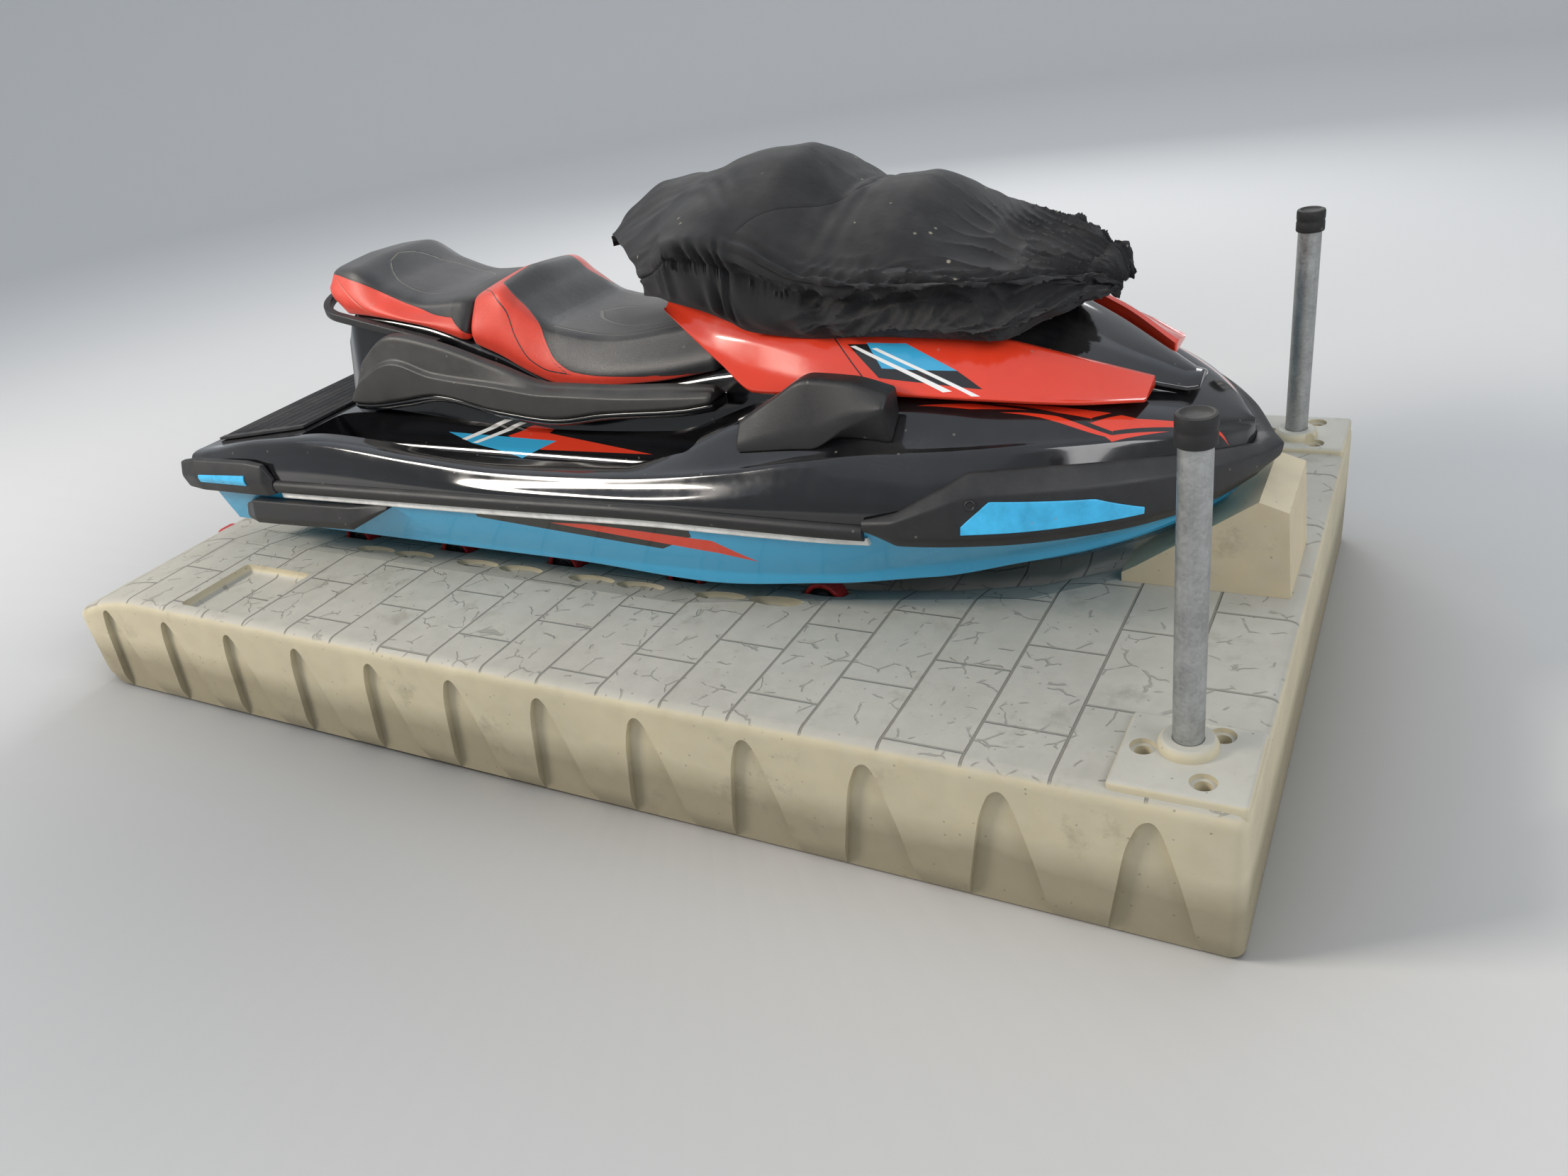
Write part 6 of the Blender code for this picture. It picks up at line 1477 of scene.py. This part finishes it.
def make_cover():
    """Cloth over the handlebar and the hood: an arched sheet moved along its normals by folds and gathers.

    u runs along it from the stern to the bow, v across it from its middle, and depth in from its hem.
    """
    grid, u, v, reach = cover_grid()
    depth = reach - np.abs(v)
    tie, fold, tuck = 0.115, 0.235, 0.170
    slack = smooth_step(0.02, 0.16, u) * (1 - 0.4 * smooth_step(1.15, 1.35, u))
    calm_front = smooth_step(0.72, 0.86, u)
    gather = hump(tie, 0.024, depth) * (1 - 0.75 * calm_front)
    skirt = smooth_step(0, 0.03, depth) * smooth_step(fold - 0.01, tie + 0.02, depth)
    twisted = smooth_step(0.66, 0.82, u) * smooth_step(0.0, 0.05, depth) * smooth_step(fold + 0.02, tuck, depth)
    roll = smooth_step(1.02, 1.20, u)
    upper = smooth_step(fold - 0.02, fold + 0.06, depth)
    pleats = slack * hump(tuck, 0.035, depth) * smooth_step(0.5, 0.7, u)
    side_v = v * np.sign(v)
    move = 0.0042 * gather * creased(ripples(u, v * 0.12, 3, 0.017, 0.030, 0.0, 0.10, 3))
    move -= 0.0060 * hump(tie, 0.007, depth) * (1 - 0.8 * calm_front)
    move += 0.0050 * skirt * ripples(u, v, 4, 0.06, 0.11, 0.25, 0.30, 5)
    move += 0.0105 * twisted * creased(ripples(u, side_v, 3, 0.085, 0.125, 1.15, 0.16, 11))
    move += 0.0060 * twisted * creased(ripples(u, side_v, 3, 0.045, 0.070, 0.80, 0.25, 12))
    move += 0.0095 * pleats * np.sin(2 * pi * (depth + 0.05 * u) / 0.030)
    move += 0.0085 * roll * creased(ripples(u, v, 3, 0.07, 0.12, 1.35, 0.30, 17))
    move += 0.0036 * upper * ripples(u, v, 4, 0.20, 0.40, 0.9, 0.45, 23)
    move += 0.0009 * upper * ripples(u, v, 4, 0.06, 0.12, 0.7, 0.60, 29)
    move += 0.0035 * hump(0.80, 0.05, u) * upper * np.cos(2 * pi * (u - 0.80) / 0.055)
    seam_at = 0.815 - 0.22 * smooth_step(0.02, 0.36, reach - depth)
    seam = (u - seam_at) * np.where(depth > fold - 0.02, 1, 9)
    move -= 0.0016 * hump(0, 0.004, seam)
    move *= smooth_step(-0.002, 0.012, depth)
    ahead, across = np.gradient(grid, axis=0), np.gradient(grid, axis=1)
    normal = np.cross(across, ahead)
    normal /= np.maximum(np.linalg.norm(normal, axis=2, keepdims=True), 1e-9)
    normal *= np.where(normal[len(u) // 2, u.shape[1] // 2, 2] < 0, -1, 1)
    grid = grid + normal * move[:, :, None]
    mesh = surface("cover", grid, turned_over=True)
    point_values(mesh, seam=seam.ravel(), hem=(depth - 0.012).ravel())
    layer = mesh.uv_layers.new(name="threads")
    corners = np.empty(len(mesh.loops), int)
    mesh.loops.foreach_get("vertex_index", corners)
    layer.data.foreach_set("uv", np.stack([u.ravel(), v.ravel()], 1)[corners].ravel())
    made = put("cloth_cover", mesh, "cloth", "hood", ["cover"], 70)
    2 * reach


def float_top(xs):
    """Height of the float's deck: flat, and rounded down at the rear."""
    behind = np.maximum(0.0, (-FLOAT_LENGTH / 2 + RAMP_LENGTH) - xs) / RAMP_LENGTH
    return FLOAT_HEIGHT - RAMP_DROP * behind**2


def float_body():
    """The float before its cuts: a rounded box whose deck follows float_top, drawn in along curves at both ends."""
    half_x, half_y = FLOAT_LENGTH / 2, FLOAT_WIDTH / 2
    bow = half_x - FRONT_ROUND * (1 - np.sin(np.linspace(0, pi / 2, 6)[1:]))
    xs = np.concatenate([along(-half_x, -half_x + RAMP_LENGTH), (0.0, half_x - FRONT_ROUND), bow])
    end = np.minimum(1.0, (xs + half_x) / 0.12)
    nose = np.clip((xs - half_x + FRONT_ROUND) / FRONT_ROUND, 0, 1)
    fall = 1 - np.sqrt(1 - nose**2)
    y = half_y - (0.04 * (1 - np.sin(end * pi / 2)) + FRONT_ROUND * fall)
    top = float_top(xs) - 0.02 * fall
    half = section((0, 0), (y - 0.02, 0), (y, 0.06), (y, top), (0, top))
    return skin(xs, mirrored(rounded(half, (0, 0.02, 0.02, FLOAT_EDGE, 0), 8)))


def make_float():
    """The float's body, less the craft's cradle, roller pockets, corner wells, pad seats, arches and drain marks."""
    body = float_body()
    above = FLOAT_HEIGHT + 0.1
    xs, deck_y, shoulder_y, shoulder_z, floor_y, floor_z = np.array(CHANNEL_ROWS).T
    half = section(
        (0, floor_z), (floor_y, floor_z), (shoulder_y, shoulder_z), (deck_y, FLOAT_HEIGHT), (deck_y, above),
        (0, above),
    )
    cradle = skin(xs, mirrored(rounded(half, (0, 0.02, 0.03, 0.012, 0, 0))))
    pockets, wells, seats, bunks, sides = [], [], [], [], []
    reach, wide = ROLLER_RADIUS + 0.012, ROLLER_WIDTH / 2 + 0.006
    for x, y, z in roller_places():
        pockets.append(block((x - reach, y - wide, z - reach), (x + reach, y + wide, z + 0.2), 0.012))
    for _, side in SIDES:
        low = (WELL_REAR, WELL_Y - WELL_WIDTH / 2, FLOAT_HEIGHT - WELL_DEPTH)
        wells.append(block(low, (WELL_REAR + WELL_LENGTH, WELL_Y + WELL_WIDTH / 2, above), 0.018, 4, side))
        low = (PAD_REAR, PAD_INNER, FLOAT_HEIGHT - 0.03)
        seats.append(block(low, (PAD_FRONT, PAD_OUTER, above), 0.010, side=side))
        low_y, high_y = sorted((side * 0.15, side * 0.21))
        xs = np.array((-0.9, 0.3))
        tops = [KEEL_Z + abs(at) * tan(DEADRISE) - 0.0004 for at in (high_y, low_y)]
        bunks.append(skin(xs, section((low_y, 0.185), (high_y, 0.185), (high_y + 0 * xs, tops[0]), (low_y, tops[1]))))
        along_x, up = rounded(np.array([ARCH_OUTLINE]), (0, 0.05, 0.02, 0.03, 0.04, 0.10, 0), 6)[0].T
        ys = (side * (FLOAT_WIDTH / 2 - ARCH_DEPTH), side * (FLOAT_WIDTH / 2 + 0.05))
        for k in range(ARCH_COUNT):
            grid = [np.column_stack([ARCH_START + k * ARCH_STEP + along_x, np.full_like(up, y), up]) for y in ys]
            sides.append(surface("arch", np.stack(grid), around=True, ends=True))
        for x in ROLLER_XS[:4]:
            for back in (0.096, 0.268):
                hole = turned(DRAIN_PROFILE, 40)
                at = Matrix.Translation((x - back, side * 0.432, 0))
                sides.append(moved(hole, Matrix.Diagonal((0.080, 0.030, 1, 1)), at))
    cuts = [(CUT, cradle), *[(CUT, gathered(tools)) for tools in (pockets, wells, seats, sides)]]
    put("float_skin", carved(body, *cuts, (JOIN, gathered(bunks))), "float", nodes=["port_float"], smooth=30)


def roller_places():
    """Middles of the rollers, left side first, from the bow to the stern. They touch the hull's slope above them."""
    height = KEEL_Z + (ROLLER_Y - ROLLER_WIDTH / 2) * tan(DEADRISE) - 0.005 - ROLLER_RADIUS
    heights = [height] * 5 + [height - 0.085]
    return [(x, side * ROLLER_Y, z) for _, side in SIDES for x, z in zip(ROLLER_XS, heights)]


def make_rollers():
    """Each roller: a rim with a tread, a dished web with a ring of holes, and a hub, as a turned profile.

    Its radius falls by 1.2 mm in 30 grooves of the tread, and its face by 4 mm in 12 hollows round the web.
    """
    radii = np.array((
        0.0096, 0.018, 0.0205, 0.0225, 0.026, 0.029, 0.032, 0.0345, 0.037, 0.040, 0.043, 0.0465, 0.052, 0.055, 0.056,
    ))
    dish = np.array((0, 0, 0, 0.010, 0.012, 0.012, 0.012, 0.012, 0.012, 0.011, 0.003, 0, 0, 0.002, 0.006))
    face = np.stack([radii, ROLLER_WIDTH / 2 - dish], 1)
    angle = np.linspace(0, 2 * pi, 120, endpoint=False)[:, None]
    radius, height = np.concatenate([face, face[::-1] * (1, -1)]).T
    holes = smooth_step(0.35, 0.8, np.cos(12 * angle)) * hump(0.0485, 0.0028, radius)
    height = height - np.sign(height) * 0.004 * holes
    tread = np.where(radius > 0.0545, radius - 0.0012 * smooth_step(0.6, 0.9, np.cos(30 * angle)), radius + 0 * angle)
    grid = np.stack([tread * np.cos(angle), tread * np.sin(angle), height + 0 * angle], -1)
    grid = np.concatenate([grid, grid[:1]])
    names = [f"roller_{name}_{k}" for name, _ in SIDES for k in range(1, 7)]
    for name, place in zip(names, roller_places()):
        mesh = moved(surface(name, grid, around=True), Matrix.Rotation(-pi / 2, 4, "X"))
        x, _, z = places(mesh)
        point_values(mesh, rim=np.hypot(x, z) - RIM_RADIUS)
        mesh = moved(mesh, Matrix.Translation(place))
        put(name + "_wheel", welded(mesh), "roller", BODY_OF[name], [name])


def rod(radius, low, high, sides=64):
    """A plain round rod along Z."""
    return turned(((0.0, low), (radius, low), (radius, high), (0.0, high)), sides)


def make_piles():
    """A pipe, its turned rubber cap, and a corner pad with a turned collar, a bore and three countersunk holes."""
    for name, side in SIDES:
        top, radius = PILE_TOPS[name], PILE_RADIUS
        middle = Matrix.Translation((PILE_X, side * PILE_Y, 0))
        put("pipe_" + name, welded(moved(rod(radius, 0.0, top), middle)), "pile", nodes=["pile_" + name])
        profile = [(across, top + up) for across, up in (*CAP_PROFILE, (0.0, 0))]
        cap = moved(turned(profile), middle)
        put("cap_" + name, welded(cap), "cap", nodes=["pile_cap_" + name])
        pad = block((PAD_REAR + 0.0004, PAD_INNER, 0.3504), (PAD_FRONT, PAD_OUTER, 0.396), 0.010, 4, side)
        rings = ((0.028, 0.37), (0.028, 0.404), (0.024, 0.414), (0.018, 0.419))
        collar = turned(((0.0, 0.37), *[(radius + out, z) for out, z in rings], (0.0, 0.419)), 48)
        cuts = [(JOIN, moved(collar, middle)), (CUT, moved(rod(radius + 0.001, -0.1, 0.6, 48), middle))]
        for dx, dy in ((-0.081, 0.024), (0.056, -0.052), (0.047, 0.100)):
            at = Matrix.Translation((PILE_X + dx, side * PILE_Y + side * dy, 0))
            sink = turned(((0.0, 0.385), (0.026, 0.385), (0.028, 0.5), (0.0, 0.5)), 32)
            cuts += [(CUT, moved(rod(0.017, 0.2, 0.6, 32), at)), (CUT, moved(sink, at))]
        put("pad_" + name, carved(pad, *cuts), "pad", nodes=["pile_pad_" + name])


def make_small_pieces():
    """Pieces that are shown with their own CAD shape."""
    finishes = {
        "stop": ("bow_stop",), "engine": ("engine_block",), "steel": ("handlebar", "impeller"),
        "plastic": ("dash_console", "steering_column", "mirror_left", "mirror_right"),
        "alloy": ("pump_housing", "steering_nozzle", "reverse_bucket", "ride_plate", "intake_grate"),
    }
    for finish, nodes in finishes.items():
        for node in nodes:
            softened(node, finish)


# The stage, the camera and the lights


def make_stage():
    """Pale floor that bends up into a round wall, so that no horizon shows."""
    flat, bend, high = 12, 5, 11
    curve = [(flat + bend * sin(angle), 4.9995 - bend * cos(angle)) for angle in np.linspace(0, pi / 2, 25)]
    wall = flat + bend
    back = ((wall, high), (wall + 0.5, high), (wall + 0.5, -0.5), (0.001, -0.5))
    mesh = turned([(0.001, -0.0005), *curve, *back], 128)
    mesh.shade_smooth()
    floor = bpy.data.objects.new("floor", mesh)
    bpy.context.scene.collection.objects.link(floor)
    floor.data.materials.append(Finish("floor_paper", "", (0.66, 0.66, 0.65), 0.9).material)


def make_camera():
    """The photo's camera: its axes to the right, down and ahead, solved from the float's edges."""
    right = (0.87506494, 0.46132889, -0.1464138)
    down = (0.1131704, -0.4891407, -0.86483168)
    ahead = (-0.47058879, 0.74021418, -0.48023866)
    camera = bpy.data.objects.new("camera", bpy.data.cameras.new("camera"))
    bpy.context.scene.collection.objects.link(camera)
    turn = Matrix((right, [-value for value in down], [-value for value in ahead])).transposed()
    camera.matrix_world = Matrix.Translation((2.0522, -2.6654, 1.867)) @ turn.to_4x4()
    camera.data.lens = 26.69
    camera.data.sensor_width = 36
    camera.data.sensor_fit = "HORIZONTAL"
    bpy.context.scene.camera = camera


def lamp(name, place, towards, size, power, colour=(1, 1, 1)):
    made = bpy.data.objects.new(name, bpy.data.lights.new(name, "AREA"))
    made.data.shape = "RECTANGLE"
    made.data.size, made.data.size_y = size
    made.data.energy = power
    made.data.color = colour
    made.location = place
    made.rotation_euler = (Vector(towards) - Vector(place)).to_track_quat("-Z", "Y").to_euler()
    bpy.context.scene.collection.objects.link(made)


def make_lights():
    """A soft pale sky, a warm key lamp from the stern's right, a fill from the bow and a lamp behind."""
    world = bpy.data.worlds.new("studio")
    world.use_nodes = True
    background = world.node_tree.nodes["Background"].inputs
    background["Color"].default_value = (0.80, 0.86, 0.95, 1)
    background["Strength"].default_value = 0.80
    bpy.context.scene.world = world
    lamp("key", (-4.5, -4.0, 4.4), (0, 0, 0.5), (2.0, 1.6), 340, (1.0, 0.93, 0.84))
    lamp("fill", (5.0, -2.0, 3.5), (0, 0, 0.5), (3, 2), 90)
    lamp("back", (-1.0, 6.0, 3.5), (0, 0, 0.6), (5, 2), 130)
    bpy.context.scene.view_settings.view_transform = "Standard"


for make in (
    make_camera, make_lights, make_stage, make_hull, make_deck, make_rails, make_bumper, make_stern_caps,
    make_sponsons, make_side_covers, make_seats, make_grab_rail, make_fairings, make_guards, make_hood, make_mats,
    make_cover, make_float, make_rollers, make_piles, make_small_pieces,
):
    make()
